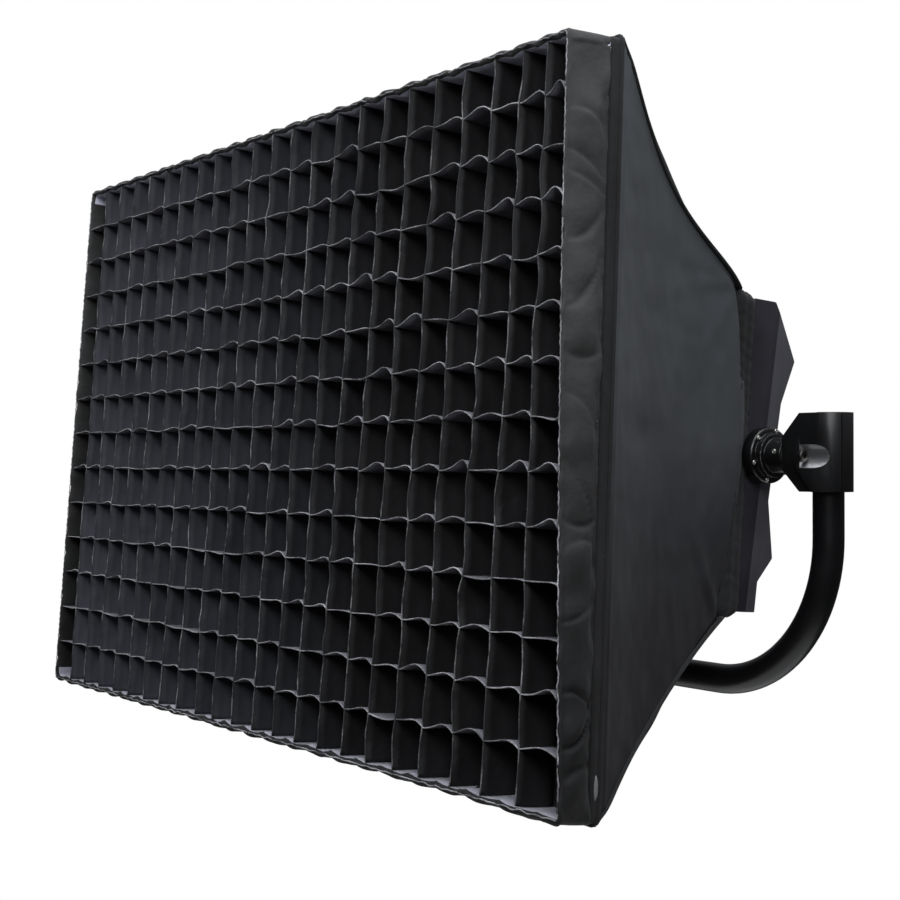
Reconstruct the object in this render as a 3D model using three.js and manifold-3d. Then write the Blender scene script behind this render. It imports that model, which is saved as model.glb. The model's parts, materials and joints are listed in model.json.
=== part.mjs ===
// Softbox with a fabric egg-crate grid on a yoke-mounted LED panel light.
// Millimetres, +Z up, front facing -Y. The origin is the centre of the stand spigot's lower end face.
// The lit head (panel light and softbox) is drawn about its own tilt axis and leans back in the yoke.

import * as THREE from 'three';
import { mergeVertices } from 'three/addons/utils/BufferGeometryUtils.js';
import Module from 'manifold-3d';

const wasm = await Module();
wasm.setup();

// ---- Driving dimensions -------------------------------------------------------------------------

const GAP = 0.3;                 // clearance between pieces that rest on each other
const HEAD_TILT = 4.5;           // degrees that the head leans back at rest

const CELL = 50;                 // one square grid cell
const COLUMNS = 23;
const ROWS = 14;
const GRID_DEPTH = 50;
const STRIP = 1.2;               // grid strip thickness
const BORDER = 4.5;              // grid border thickness

const FRONT_Y = -433;            // front edge of the grid, from the tilt axis
const SHELL_FRONT_Y = -371;      // where the sloping shell starts
const SHELL_REAR_Y = -46;        // where the sloping shell ends
const SHELL_REAR_HALF = { x: 380, z: 184 };
const FABRIC = 2;                // shell fabric with its lining
const ROD_R = 4;

const PANEL_HALF = { x: 375, z: 177 };
const SIDE_PLATE = 12;
const PANEL_FRONT_Y = -18;
const FRAME_HALF = { x: 372, z: 175.6 };   // softbox mounting frame

const YOKE_X = 481;              // centre line of a yoke arm
const YOKE_R = 17;               // yoke tube radius
const YOKE_WALL = 2.5;
const YOKE_BEND = 168;
const YOKE_DROP = 258;           // tilt axis to the bottom tube's centre line
const CLAMP_R = 26.5;            // clamp sleeve round the tube; its cheeks are flush with it
const CLAMP_Z = [-39.5, 46];
const SNOUT_X = 430;             // inner face of the snout between the cheeks
const SNOUT_HALF_Y = 18.5;
const SCALLOP = { r: 14, x: 464, y: -32.5, z: -1 };   // open groove that gives access to the clamp bolt
const TUBE_TOP = CLAMP_Z[1] - 4;
const BOLT = { r: 3, headR: 6.3, tip: 460.5, y: -25.2, z: -1 };
const LEVER_X = -452;            // tilt lock stud, between the left axle's end and the tube
const STUD_R = 4;
const HUB_END_X = 427.4;
const HUB_NECK_X = 381;
const HUB_FOOT_X = 396;
const AXLE_R = 10;
const AXLE_END_X = 444;
const WASHER_R = 18.5;

const BASE_HALF = { x: 45, y: 30 };
const BASE_BELOW = 32;           // base block, below the bottom tube's centre line
const BASE_TOP = 26;
const BASE_BEVEL = 8;
const FLANGE_H = 9.7;
const SPIGOT_R = 14;
const SPIGOT_LENGTH = 78;
const FLANGE_R = 30;

const BOX_HALF_X = 150;          // driver housing on the panel's back
const BOX_Z = [-49, 61];
const BOX_Y = [24, 101.5];
const PLATE_Y = [BOX_Y[1] + GAP, BOX_Y[1] + GAP + 2.7];   // control plate
const FAN_X = 215;
const FAN_Z = 6;
const FAN_HALF = 46;
const FAN_R = 42;

const GRID_HALF = { x: CELL * COLUMNS / 2, z: CELL * ROWS / 2 };
const RIM_HALF = { x: GRID_HALF.x + 7, z: GRID_HALF.z + 7 };
const PIVOT_Z = YOKE_DROP + BASE_BELOW + GAP + FLANGE_H + SPIGOT_LENGTH;

// ---- Materials ----------------------------------------------------------------------------------

const surface = (color, roughness, metalness) =>
  new THREE.MeshStandardMaterial({ color, roughness, metalness });
const shellFabric = () => surface(0x2b2b31, 0.62, 0);
const gridFabric = () => surface(0x141416, 0.85, 0);
const whiteFabric = () => surface(0xe6e6e2, 0.8, 0);
const paintedMetal = () => surface(0x1a1a1c, 0.45, 0.4);
const castPanel = () => surface(0x35353b, 0.5, 0.4);
const bareMetal = () => surface(0xc4c2ba, 0.3, 1);
const blackPlastic = () => surface(0x171719, 0.5, 0);
const rubber = () => surface(0x101011, 0.9, 0);
const frosted = () => surface(0xf0f0ec, 0.4, 0);
const circuit = () => surface(0x1c4a2c, 0.6, 0);

// ---- Geometry helpers ---------------------------------------------------------------------------

function outline(points, holes = []) {
  const shape = new THREE.Shape(points.map(([a, b]) => new THREE.Vector2(a, b)));
  shape.holes = holes.map((hole) => new THREE.Path(hole.map(([a, b]) => new THREE.Vector2(a, b))));
  return shape;
}

const rectangle = (a0, a1, b0, b1) => [[a0, b0], [a1, b0], [a1, b1], [a0, b1]];

const centred = (halfA, halfB) => rectangle(-halfA, halfA, -halfB, halfB);

function circle(radius, sides, a = 0, b = 0) {
  return Array.from({ length: sides }, (_, i) => {
    const turn = 2 * Math.PI * i / sides;
    return [a + radius * Math.cos(turn), b + radius * Math.sin(turn)];
  });
}

function prism(shape, low, high, extra = {}) {
  const geometry = new THREE.ExtrudeGeometry(shape, { depth: high - low, bevelEnabled: false, ...extra });
  return geometry.translate(0, 0, low);
}

const X = new THREE.Vector3(1, 0, 0);
const Y = new THREE.Vector3(0, 1, 0);
const Z = new THREE.Vector3(0, 0, 1);
const YZX = new THREE.Matrix4().makeBasis(Y, Z, X);                 // shape (y, z), extruded along X
const XZY = new THREE.Matrix4().makeBasis(X, Z, Y.clone().negate());  // shape (x, z), extruded along -Y

const alongX = (shape, low, high) => prism(shape, low, high).applyMatrix4(YZX);
const alongY = (shape, low, high, extra) => prism(shape, -high, -low, extra).applyMatrix4(XZY);
const alongZ = (shape, low, high) => prism(shape, low, high);

function box(x0, x1, y0, y1, z0, z1) {
  const geometry = new THREE.BoxGeometry(x1 - x0, y1 - y0, z1 - z0);
  return geometry.translate((x0 + x1) / 2, (y0 + y1) / 2, (z0 + z1) / 2);
}

// A turned piece: profile points are [radius, height] from axis to axis, height along +Z.
function turned(profile, sides) {
  const points = profile.map(([radius, height]) => new THREE.Vector2(radius, height));
  return new THREE.LatheGeometry(points, sides).rotateX(Math.PI / 2);
}

const turnedX = (profile, sides) => turned(profile, sides).rotateY(Math.PI / 2);
const turnedY = (profile, sides) => turned(profile, sides).rotateX(-Math.PI / 2);

function solid(geometry) {
  const bare = geometry.clone();
  bare.deleteAttribute('normal');
  bare.deleteAttribute('uv');
  const merged = mergeVertices(bare, 1e-4);
  return new wasm.Manifold(new wasm.Mesh({
    numProp: 3,
    vertProperties: new Float32Array(merged.attributes.position.array),
    triVerts: new Uint32Array(merged.index.array),
  }));
}

function meshed(manifold) {
  const { vertProperties, triVerts } = manifold.getMesh();
  const geometry = new THREE.BufferGeometry();
  geometry.setAttribute('position', new THREE.BufferAttribute(vertProperties, 3));
  geometry.setIndex(new THREE.BufferAttribute(triVerts, 1));
  geometry.computeVertexNormals();
  return geometry;
}

const join = (first, ...rest) => meshed(rest.reduce((sum, next) => sum.add(solid(next)), solid(first)));
const common = (first, second) => meshed(solid(first).intersect(solid(second)));
const cut = (first, ...rest) => meshed(rest.reduce((sum, next) => sum.subtract(solid(next)), solid(first)));

// A flat sheet between four corner points, thickened towards `inward`.
function sheet(corners, inward, thickness) {
  const offset = inward.clone().normalize().multiplyScalar(thickness);
  const inner = corners.map((corner) => corner.clone().add(offset));
  const positions = [...corners, ...inner].flatMap((corner) => corner.toArray());
  const quads = [[0, 1, 2, 3], [7, 6, 5, 4], [0, 4, 5, 1], [1, 5, 6, 2], [2, 6, 7, 3], [3, 7, 4, 0]];
  const geometry = new THREE.BufferGeometry();
  geometry.setAttribute('position', new THREE.BufferAttribute(new Float32Array(positions), 3));
  geometry.setIndex(quads.flatMap(([a, b, c, d]) => [a, b, c, a, c, d]));
  geometry.computeVertexNormals();
  return geometry;
}

function ring(outer, inner, low, high) {
  return alongY(outline(centred(outer.x, outer.z), [centred(inner.x, inner.z)]), low, high);
}

const inset = (half, amount) => ({ x: half.x - amount, z: half.z - amount });

function place(group, name, geometry, material) {
  const mesh = new THREE.Mesh(geometry, material);
  mesh.name = name;
  group.add(mesh);
  return mesh;
}

// ---- Yoke, clamps and spigot --------------------------------------------------------------------

class PlanarCurve extends THREE.Curve {
  constructor(path) {
    super();
    this.path = path;
  }

  getPoint(t) {
    const point = this.path.getPointAt(t);
    return new THREE.Vector3(point.x, 0, point.y);
  }
}

function yokeTube() {
  const bendZ = YOKE_BEND - YOKE_DROP;
  const path = new THREE.Path();
  path.moveTo(YOKE_X, TUBE_TOP);
  path.lineTo(YOKE_X, bendZ);
  path.absarc(YOKE_X - YOKE_BEND, bendZ, YOKE_BEND, 0, -Math.PI / 2, true);
  path.lineTo(YOKE_BEND - YOKE_X, -YOKE_DROP);
  path.absarc(YOKE_BEND - YOKE_X, bendZ, YOKE_BEND, -Math.PI / 2, -Math.PI, true);
  path.lineTo(-YOKE_X, TUBE_TOP);
  const section = outline(circle(YOKE_R, 16), [circle(YOKE_R - YOKE_WALL, 16)]);
  return new THREE.ExtrudeGeometry(section, { steps: 44, extrudePath: new PlanarCurve(path) });
}

// Side views as [x, z], right side: the snout is chamfered towards the hub, the cheeks end in a round nose.
const SNOUT_OUTLINE = [
  [YOKE_X, CLAMP_Z[0]], [YOKE_X, CLAMP_Z[1]], [455.6, CLAMP_Z[1]],
  [SNOUT_X, 20], [SNOUT_X, -15.5], [455.6, CLAMP_Z[0]],
];
const CHEEK_OUTLINE = [
  [520, CLAMP_Z[0] - 1], [520, CLAMP_Z[1] + 1], [489.3, CLAMP_Z[1] + 1], [463.2, 18.5], [456.5, 11.5],
  [454, 7], [453.2, 1.5], [454, -4.5], [457, -11], [463, -19.5], [482, CLAMP_Z[0] - 1],
];

const mirroredX = (geometry, side) => (side > 0 ? geometry : geometry.rotateZ(Math.PI));

function clampBlock(side) {
  const sided = (points) => outline(points.map(([x, z]) => [side * x, z]));
  const middle = side * YOKE_X;
  const [inner, outer] = [middle, middle - side * 30].sort((a, b) => a - b);
  const sleeve = alongZ(outline(circle(CLAMP_R, 48, middle)), ...CLAMP_Z);
  const cheeks = box(inner, outer, -CLAMP_R, CLAMP_R, ...CLAMP_Z);
  const trimmed = common(join(sleeve, cheeks), alongY(sided(CHEEK_OUTLINE), -40, 40));
  const snout = alongY(sided(SNOUT_OUTLINE), -SNOUT_HALF_Y, SNOUT_HALF_Y);
  const tubeBore = alongZ(outline(circle(YOKE_R + GAP + 0.1, 32, middle)), -60, TUBE_TOP + GAP);
  const slitX = side * (YOKE_X + CLAMP_R);
  const slit = box(slitX - 14, slitX + 14, -8, -6, -60, 60);
  const axleBore = turnedX([
    [0, SNOUT_X - 5], [AXLE_R + GAP, SNOUT_X - 5], [AXLE_R + GAP, AXLE_END_X + 2], [0, AXLE_END_X + 2],
  ], 24);
  const blank = side > 0 ? join(trimmed, snout) : join(trimmed, snout, leverSeat());
  const block = cut(blank, tubeBore, slit, mirroredX(axleBore, side));
  return side > 0 ? cut(block, ...boltAccess()) : cut(block, studBore());
}

function leverSeat() {
  return turnedY([[0, -CLAMP_R], [12, -CLAMP_R], [12, -10], [0, -10]], 24).translate(LEVER_X, 0, 0);
}

function boltAccess() {
  const { r, x, y, z } = SCALLOP;
  const groove = alongX(outline(circle(r, 32)), x, x + 60).translate(0, y, z);
  const bore = alongX(outline(circle(BOLT.r + GAP, 16)), BOLT.tip - 0.5, x + 1).translate(0, BOLT.y, BOLT.z);
  return [groove, bore];
}

function studBore() {
  return alongY(outline(circle(STUD_R + GAP, 16, LEVER_X)), -40, 40);
}

function clampBolt() {
  const { r, headR, tip, y, z } = BOLT;
  const [seat, top] = [SCALLOP.x + GAP, SCALLOP.x + 6.3];
  const bolt = turnedX([
    [0, tip], [r, tip], [r, seat], [headR, seat], [headR, top - 0.8], [headR - 0.8, top], [0, top],
  ], 24);
  const hexSocket = turnedX([[0, top - 4], [3, top - 4], [3, top + 1], [0, top + 1]], 6);
  return cut(bolt, hexSocket).translate(0, y, z);
}

function lockLever() {
  const seat = -CLAMP_R - GAP;
  const boss = turnedY([[0, seat - 19], [9, seat - 19], [11, seat - 17], [11, seat], [0, seat]], 20);
  const arm = alongY(outline([[-8, 0], [-5.5, -72], [0, -78], [5.5, -72], [8, 0]]), seat - 18, seat - 9);
  const stud = turnedY([[0, seat - 1], [STUD_R, seat - 1], [STUD_R, 24], [0, 24]], 16);
  return join(boss, arm, stud).translate(LEVER_X, 0, 0);
}

function spigot() {
  const flangeTop = FLANGE_H + SPIGOT_LENGTH;
  const waist = SPIGOT_R - 2;
  return turned([
    [0, 0], [waist, 0], [SPIGOT_R, 2], [SPIGOT_R, 34], [waist, 36], [waist, 44], [SPIGOT_R, 46],
    [SPIGOT_R, SPIGOT_LENGTH], [FLANGE_R - 2, SPIGOT_LENGTH], [FLANGE_R, SPIGOT_LENGTH + 2],
    [FLANGE_R, flangeTop], [0, flangeTop],
  ], 32);
}

function baseBlock() {
  const { x, y } = BASE_HALF;
  const side = [
    [-y, -BASE_BELOW], [y, -BASE_BELOW], [y, BASE_TOP - BASE_BEVEL], [y - BASE_BEVEL, BASE_TOP],
    [BASE_BEVEL - y, BASE_TOP], [-y, BASE_TOP - BASE_BEVEL],
  ];
  return alongX(outline(side, [circle(YOKE_R + GAP + 0.1, 24)]), -x, x).translate(0, 0, -YOKE_DROP);
}

function buildYoke(yoke) {
  place(yoke, 'yoke_tube', yokeTube(), paintedMetal());
  place(yoke, 'yoke_base_block', baseBlock(), paintedMetal());
  place(yoke, 'stand_spigot', spigot().translate(0, 0, -PIVOT_Z), bareMetal());
  for (const [side, label] of [[1, 'right'], [-1, 'left']]) {
    place(yoke, `clamp_block_${label}`, clampBlock(side), paintedMetal());
    const section = outline(circle(WASHER_R, 24), [circle(AXLE_R + GAP, 24)]);
    const washer = alongX(section, HUB_END_X + GAP, SNOUT_X - GAP);
    place(yoke, `friction_washer_${label}`, mirroredX(washer, side), rubber());
  }
  place(yoke, 'clamp_bolt', clampBolt(), bareMetal());
  place(yoke, 'tilt_lock_lever', lockLever(), blackPlastic());
}

// ---- Panel light --------------------------------------------------------------------------------

// Side view of an end plate as [y, z]: a flange in front, then two bulges either side of the hub.
const END_PROFILE = [
  [PANEL_FRONT_Y, -PANEL_HALF.z], [11, -PANEL_HALF.z], [13, -142], [38, -115], [24, -50],
  [36, 62], [57, 113], [16, PANEL_HALF.z], [PANEL_FRONT_Y, PANEL_HALF.z],
];
const BODY_HALF_X = PANEL_HALF.x - SIDE_PLATE - GAP;

function tiltHub(side) {
  const start = PANEL_HALF.x + GAP;
  const neck = [[0, start], [24, start], [24, HUB_NECK_X]];
  const foot = [[31.5, HUB_NECK_X], [31.5, HUB_FOOT_X - 2], [29.5, HUB_FOOT_X]];
  const collar = [[25, HUB_FOOT_X], [25, HUB_FOOT_X + 7], [24, HUB_FOOT_X + 8], [19.5, HUB_FOOT_X + 8]];
  const axle = [[19.5, HUB_END_X], [AXLE_R, HUB_END_X], [AXLE_R, AXLE_END_X], [0, AXLE_END_X]];
  return mirroredX(turnedX([...neck, ...foot, ...collar, ...axle], 48), side);
}

// What is cut off an end plate's outer face so that it turns inwards behind a slanted line.
function plateBend(side) {
  const [turn, slant, reach] = [0.16, 0.084, 80];
  const edge = [[0, 0], [20, -1], [20, reach], [-turn * reach, reach]];
  const wedge = alongZ(outline(edge.map(([x, y]) => [side * (PANEL_HALF.x + x), y])), -230, 230);
  return wedge.rotateX(-Math.atan(slant)).translate(0, 9, 0);
}

function bentCover(points) {
  const inner = points.map(([y, z]) => [y - 2, z]).reverse();
  return alongX(outline([...points, ...inner]), -BODY_HALF_X, BODY_HALF_X);
}

function heatSink() {
  const [back, base, tip] = [8.3, 12.3, 20];
  const [fins, halfX, thickness] = [36, 350, 2.4];
  const pitch = (2 * halfX - thickness) / (fins - 1);
  const comb = [[-halfX, back], [halfX, back]];
  for (let fin = fins - 1; fin >= 0; fin--) {
    const left = -halfX + fin * pitch;
    comb.push([left + thickness, base], [left + thickness, tip], [left, tip], [left, base]);
  }
  comb.splice(2, 1);             // the outermost fins stand flush with the base plate's ends
  comb.pop();
  return alongZ(outline(comb), -125, 160);
}

const FAN_Y = { rotor: [27, 43], frame: [23, 47], guard: [47.3, 49] };
const ROTOR_R = 39;
const HUB_R = 15;

function fanRotor() {
  const blades = 7;
  const blade = [[0, HUB_R], [0.12, HUB_R], [0.3, ROTOR_R], [0.72, ROTOR_R], [0.6, HUB_R]];
  const points = [];
  for (let i = 0; i < blades; i++) {
    const start = 2 * Math.PI * i / blades;
    for (const [turn, radius] of blade) {
      points.push([radius * Math.cos(start + turn), radius * Math.sin(start + turn)]);
    }
  }
  return alongY(outline(points), ...FAN_Y.rotor).translate(0, 0, FAN_Z);
}

function arc(radius, from, to) {
  return Array.from({ length: 7 }, (_, i) => {
    const turn = from + (to - from) * i / 6;
    return [radius * Math.cos(turn), radius * Math.sin(turn)];
  });
}

function fanGuard() {
  const spoke = 0.09;            // half a spoke's width, as an angle
  const holes = [];
  for (const [inner, outer] of [[17, 27], [30, 40]]) {
    for (let quarter = 0; quarter < 4; quarter++) {
      const from = quarter * Math.PI / 2 + spoke;
      const to = (quarter + 1) * Math.PI / 2 - spoke;
      holes.push([...arc(outer, from, to), ...arc(inner, to, from)]);
    }
  }
  return alongY(outline(centred(FAN_HALF, FAN_HALF), holes), ...FAN_Y.guard).translate(0, 0, FAN_Z);
}

function buildLight(light) {
  const half = { x: BODY_HALF_X, z: PANEL_HALF.z };
  const rim = ring(half, { x: 338, z: 150 }, PANEL_FRONT_Y, -4);
  const wall = ring(half, inset(half, 2.4), -5, 8.4);
  const roof = box(-half.x, half.x, 8, 14.2, half.z - 2.4, half.z);
  place(light, 'front_bezel', join(rim, wall, roof), paintedMetal());
  place(light, 'diffuser_window', box(-360, 360, -3.7, -0.7, -172, 172), frosted());
  place(light, 'led_board', box(-355, 355, 6, 8, -168, 168), surface(0xdcdcd2, 0.6, 0));
  place(light, 'heat_sink', heatSink(), bareMetal());
  const upper = [[35.5, 62.5], [56.5, 113], [16.5, PANEL_HALF.z - 1]];
  const lower = [[10.7, 1 - PANEL_HALF.z], [12.7, -142], [37.7, -115], [24, -50.5]];
  place(light, 'rear_cover_upper', bentCover(upper), castPanel());
  place(light, 'rear_cover_lower', bentCover(lower), castPanel());
  for (const [side, label] of [[1, 'right'], [-1, 'left']]) {
    const plate = alongX(outline(END_PROFILE), PANEL_HALF.x - SIDE_PLATE, PANEL_HALF.x);
    if (side < 0) plate.translate(SIDE_PLATE - 2 * PANEL_HALF.x, 0, 0);
    place(light, `side_plate_${label}`, cut(plate, plateBend(side)), castPanel());
    place(light, `tilt_hub_${label}`, tiltHub(side), paintedMetal());
    const frame = alongY(outline(centred(FAN_HALF, FAN_HALF), [circle(FAN_R, 24)]), ...FAN_Y.frame);
    const x = side * FAN_X;
    place(light, `fan_frame_${label}`, frame.translate(x, 0, FAN_Z), blackPlastic());
    place(light, `fan_guard_${label}`, fanGuard().translate(x, 0, 0), paintedMetal());
    place(light, `fan_rotor_${label}`, fanRotor().translate(x, 0, 0), blackPlastic());
  }
}

// ---- Driver housing and controls ----------------------------------------------------------------

const BUTTON_X = [-36, -12, 12, 36];
const BUTTON_Z = -14;
const BUTTON_R = 5;
const ENCODER_X = [-78, 78];
const ENCODER_Z = 28;
const SIDE_X = 118;              // rocker and inlet to one side, data sockets to the other
const ROCKER_Y = 102;
const ROCKER_Z = 32;
const ROCKER_TIP = 8;            // degrees either side of level
const INLET_Z = -18;
const DATA_Z = [32, -18];
const SCREEN_HALF = { x: 44, z: 22 };
const SCREEN_Z = 28;

function controlPlate() {
  const holes = [
    rectangle(-SCREEN_HALF.x, SCREEN_HALF.x, SCREEN_Z - SCREEN_HALF.z, SCREEN_Z + SCREEN_HALF.z),
    rectangle(SIDE_X - 11, SIDE_X + 11, ROCKER_Z - 15, ROCKER_Z + 15),
    rectangle(SIDE_X - 22, SIDE_X + 22, INLET_Z - 12, INLET_Z + 12),
    ...BUTTON_X.map((x) => circle(BUTTON_R + 0.5, 16, x, BUTTON_Z)),
    ...ENCODER_X.map((x) => circle(3.6, 12, x, ENCODER_Z)),
    ...DATA_Z.map((z) => circle(12.5, 20, -SIDE_X, z)),
  ];
  return alongY(outline(rectangle(-BOX_HALF_X, BOX_HALF_X, ...BOX_Z), holes), ...PLATE_Y);
}

function powerInlet() {
  const outside = PLATE_Y[1] + GAP;
  const flange = box(-26, 26, outside, outside + 2.5, -15, 15);
  const body = box(-21, 21, 84, outside + 1, -11, 11);
  const cavity = box(-13, 13, 89, 120, -8, 8);
  return cut(join(flange, body), cavity).translate(SIDE_X, 0, INLET_Z);
}

function dataSocket(z) {
  const outside = PLATE_Y[1] + GAP;
  return turnedY([
    [0, 86], [12, 86], [12, outside], [15, outside], [15, outside + 2], [9, outside + 2],
    [9, 90], [0, 90],
  ], 20).translate(-SIDE_X, 0, z);
}

function rocker() {
  const [root, lip, crown, valley, reach] = [-4, 2, 6.5, 4, 13];     // depths from the pivot
  const profile = [
    [root, -10], [lip, -reach], [crown, -reach], [valley, 0], [crown, reach], [lip, reach], [root, 10],
  ];
  return alongX(outline(profile), -9.5, 9.5);
}

function buildDriver(light) {
  const [low, high] = BOX_Z;
  const wall = 2.5;
  const tube = outline(
    rectangle(-BOX_HALF_X, BOX_HALF_X, low, high),
    [rectangle(wall - BOX_HALF_X, BOX_HALF_X - wall, low + wall, high - wall)],
  );
  place(light, 'driver_housing', alongY(tube, ...BOX_Y), castPanel());
  place(light, 'control_plate', controlPlate(), paintedMetal());
  place(light, 'power_supply', box(-140, -10, 28, 68, -40, 52), bareMetal());
  place(light, 'control_board', box(-95, 92, 76, 78, -36, 52), circuit());
  const screen = box(
    GAP - SCREEN_HALF.x, SCREEN_HALF.x - GAP, 100, PLATE_Y[1] - 0.6,
    SCREEN_Z - SCREEN_HALF.z + GAP, SCREEN_Z + SCREEN_HALF.z - GAP,
  );
  place(light, 'display', screen, surface(0x08090c, 0.15, 0));
  place(light, 'power_inlet', powerInlet(), blackPlastic());
  DATA_Z.forEach((z, i) => place(light, `data_socket_${i + 1}`, dataSocket(z), bareMetal()));
  BUTTON_X.forEach((x, i) => {
    const edge = BUTTON_R - 1;
    const cap = turnedY([[0, 97], [BUTTON_R, 97], [BUTTON_R, 106.6], [edge, 107.6], [0, 107.6]], 16);
    place(light, `button_${i + 1}`, cap.translate(x, 0, BUTTON_Z), rubber());
  });
  ENCODER_X.forEach((x, i) => {
    const shaft = turnedY([[0, 94], [3, 94], [3, 113], [0, 113]], 12);
    const knob = turnedY([
      [0, 113.5], [3.4, 113.5], [3.4, 105.7], [12.5, 105.7], [12.5, 119], [11, 121], [0, 121],
    ], 24);
    place(light, `encoder_shaft_${i + 1}`, shaft.translate(x, 0, ENCODER_Z), bareMetal());
    place(light, `encoder_knob_${i + 1}`, knob.translate(x, 0, ENCODER_Z), blackPlastic());
  });
  const rockerMesh = place(light, 'power_rocker', rocker(), blackPlastic());
  rockerMesh.position.set(SIDE_X, ROCKER_Y, ROCKER_Z);
  rockerMesh.rotation.x = THREE.MathUtils.degToRad(-ROCKER_TIP);
}

// ---- Softbox ------------------------------------------------------------------------------------

const ROD_REAR = new THREE.Vector3(352, SHELL_REAR_Y - 6, 158);
const ROD_FRONT = new THREE.Vector3(536, -371.5, 321);
const CATCH = { y: -6, z: 182 };     // pivot of the spring catch
const LIP = 5;                   // thickness of the front lip

function shellPanel(sideways, sign) {
  const [rear, front] = [SHELL_REAR_HALF, RIM_HALF];
  const trim = sideways ? 3.2 : 0;        // the side panels fit between the top and bottom ones
  const corner = (half, y, along) => (sideways
    ? new THREE.Vector3(sign * half.x, y, along * (half.z - trim))
    : new THREE.Vector3(along * half.x, y, sign * half.z));
  const loop = [
    corner(front, SHELL_FRONT_Y, -1), corner(front, SHELL_FRONT_Y, 1),
    corner(rear, SHELL_REAR_Y, 1), corner(rear, SHELL_REAR_Y, -1),
  ];
  const normal = new THREE.Vector3().crossVectors(
    loop[1].clone().sub(loop[0]), loop[2].clone().sub(loop[1]),
  );
  const outward = sideways ? new THREE.Vector3(sign, 0, 0) : new THREE.Vector3(0, 0, sign);
  if (normal.dot(outward) < 0) {
    loop.reverse();
    normal.negate();
  }
  return sheet(loop, normal.negate(), FABRIC);
}

const CORNERS = [
  ['top_right', 1, 1], ['top_left', -1, 1], ['bottom_right', 1, -1], ['bottom_left', -1, -1],
];
const ROD_LENGTH = ROD_REAR.distanceTo(ROD_FRONT);

// Puts a piece turned about +Z onto the line of one corner rod, its zero at the rod's rear end.
function onRodLine(geometry, sx, sz) {
  const start = ROD_REAR.clone().multiply(new THREE.Vector3(sx, 1, sz));
  const end = ROD_FRONT.clone().multiply(new THREE.Vector3(sx, 1, sz));
  const turn = new THREE.Quaternion().setFromUnitVectors(Z, end.sub(start).normalize());
  return geometry.applyQuaternion(turn).translate(start.x, start.y, start.z);
}

function cornerRod(sx, sz) {
  const tip = [[ROD_R, ROD_LENGTH - 3], [ROD_R - 2, ROD_LENGTH], [0, ROD_LENGTH]];
  return onRodLine(turned([[0, 0], [ROD_R, 0], ...tip], 12), sx, sz);
}

function mountFrame() {
  const rails = ring(FRAME_HALF, inset(FRAME_HALF, 24), -44, -28);
  const [boreR, cupR, mouth] = [ROD_R + GAP, 9, 26];
  const cupProfile = [[0, -8], [cupR, -8], [cupR, mouth], [boreR, mouth], [boreR, -GAP], [0, -GAP]];
  const boreProfile = [[0, -GAP], [boreR, -GAP], [boreR, 60], [0, 60]];
  const cups = CORNERS.map(([, sx, sz]) => onRodLine(turned(cupProfile, 16), sx, sz));
  const bores = CORNERS.map(([, sx, sz]) => onRodLine(turned(boreProfile, 16), sx, sz));
  const keeper = box(-11, 11, -39.5, -33.5, FRAME_HALF.z - 5, FRAME_HALF.z + 5);
  return cut(join(rails, ...cups), ...bores, keeper);
}

function rearCollar() {
  const inner = inset(SHELL_REAR_HALF, 2.5);
  const notch = box(-18, 18, -60, 0, inner.z - 2, SHELL_REAR_HALF.z + 5);
  return cut(ring(SHELL_REAR_HALF, inner, SHELL_REAR_Y + GAP, -26), notch);
}

function innerBaffle() {
  const [halfX, halfZ, ear, tip] = [404, 201, 15, 6];      // its corners reach out to the rods
  const quarter = [
    [halfX, halfZ - 30], [halfX + ear, halfZ + ear - tip],
    [halfX + ear - tip, halfZ + ear], [halfX - 30, halfZ],
  ];
  const points = [
    ...quarter,
    ...quarter.map(([x, z]) => [-x, z]).reverse(),
    ...quarter.map(([x, z]) => [-x, -z]),
    ...quarter.map(([x, z]) => [x, -z]).reverse(),
  ];
  return alongY(outline(points), -181, -179.5);
}

function catchBracket() {
  const floor = PANEL_HALF.z + GAP;
  const base = box(-17, 17, -16, 0, floor, floor + 1.2);
  const lugs = [-1, 1].map((side) => box(side * 14 - 2, side * 14 + 2, -10, -2, floor + 1, floor + 8));
  const bore = alongX(outline(circle(1.8, 12)), -30, 30).translate(0, CATCH.y, CATCH.z);
  return cut(join(base, ...lugs), bore);
}

function catchLever() {
  const [low, top] = [PANEL_HALF.z + 2.6, PANEL_HALF.z + 4.6];
  const arm = [
    [-4, low], [1, low + 4], [6, low + 12], [3.5, low + 12.5], [0, top + 4], [-9, top + 3], [-10, top],
    [-38, top], [-38, FRAME_HALF.z - 3.5], [-35, FRAME_HALF.z - 3.5], [-35, low],
  ];
  const pin = alongX(outline(circle(1.5, 12)), -15.5, 15.5).translate(0, CATCH.y, CATCH.z);
  return join(alongX(outline(arm), -9, 9), pin);
}

function gridStrips(upright) {
  const t = STRIP / 2;
  const reach = 1;               // how far a cell's cutter runs past the comb
  const count = upright ? COLUMNS : ROWS;
  const middle = FRONT_Y + GRID_DEPTH / 2;
  const [front, rear] = upright ? [FRONT_Y + 1, middle] : [middle + GAP, FRONT_Y + GRID_DEPTH];
  const cells = Array.from({ length: count }, (_, i) => {
    const low = (i - count / 2) * CELL + t;
    const high = low + CELL - STRIP;
    return upright
      ? box(low, high, front - reach, rear + reach, t - GRID_HALF.z, GRID_HALF.z - t)
      : box(t - GRID_HALF.x, GRID_HALF.x - t, front - reach, rear + reach, low, high);
  });
  const half = inset(GRID_HALF, -STRIP);
  return cut(box(-half.x, half.x, front, rear, -half.z, half.z), ...cells);
}

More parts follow.
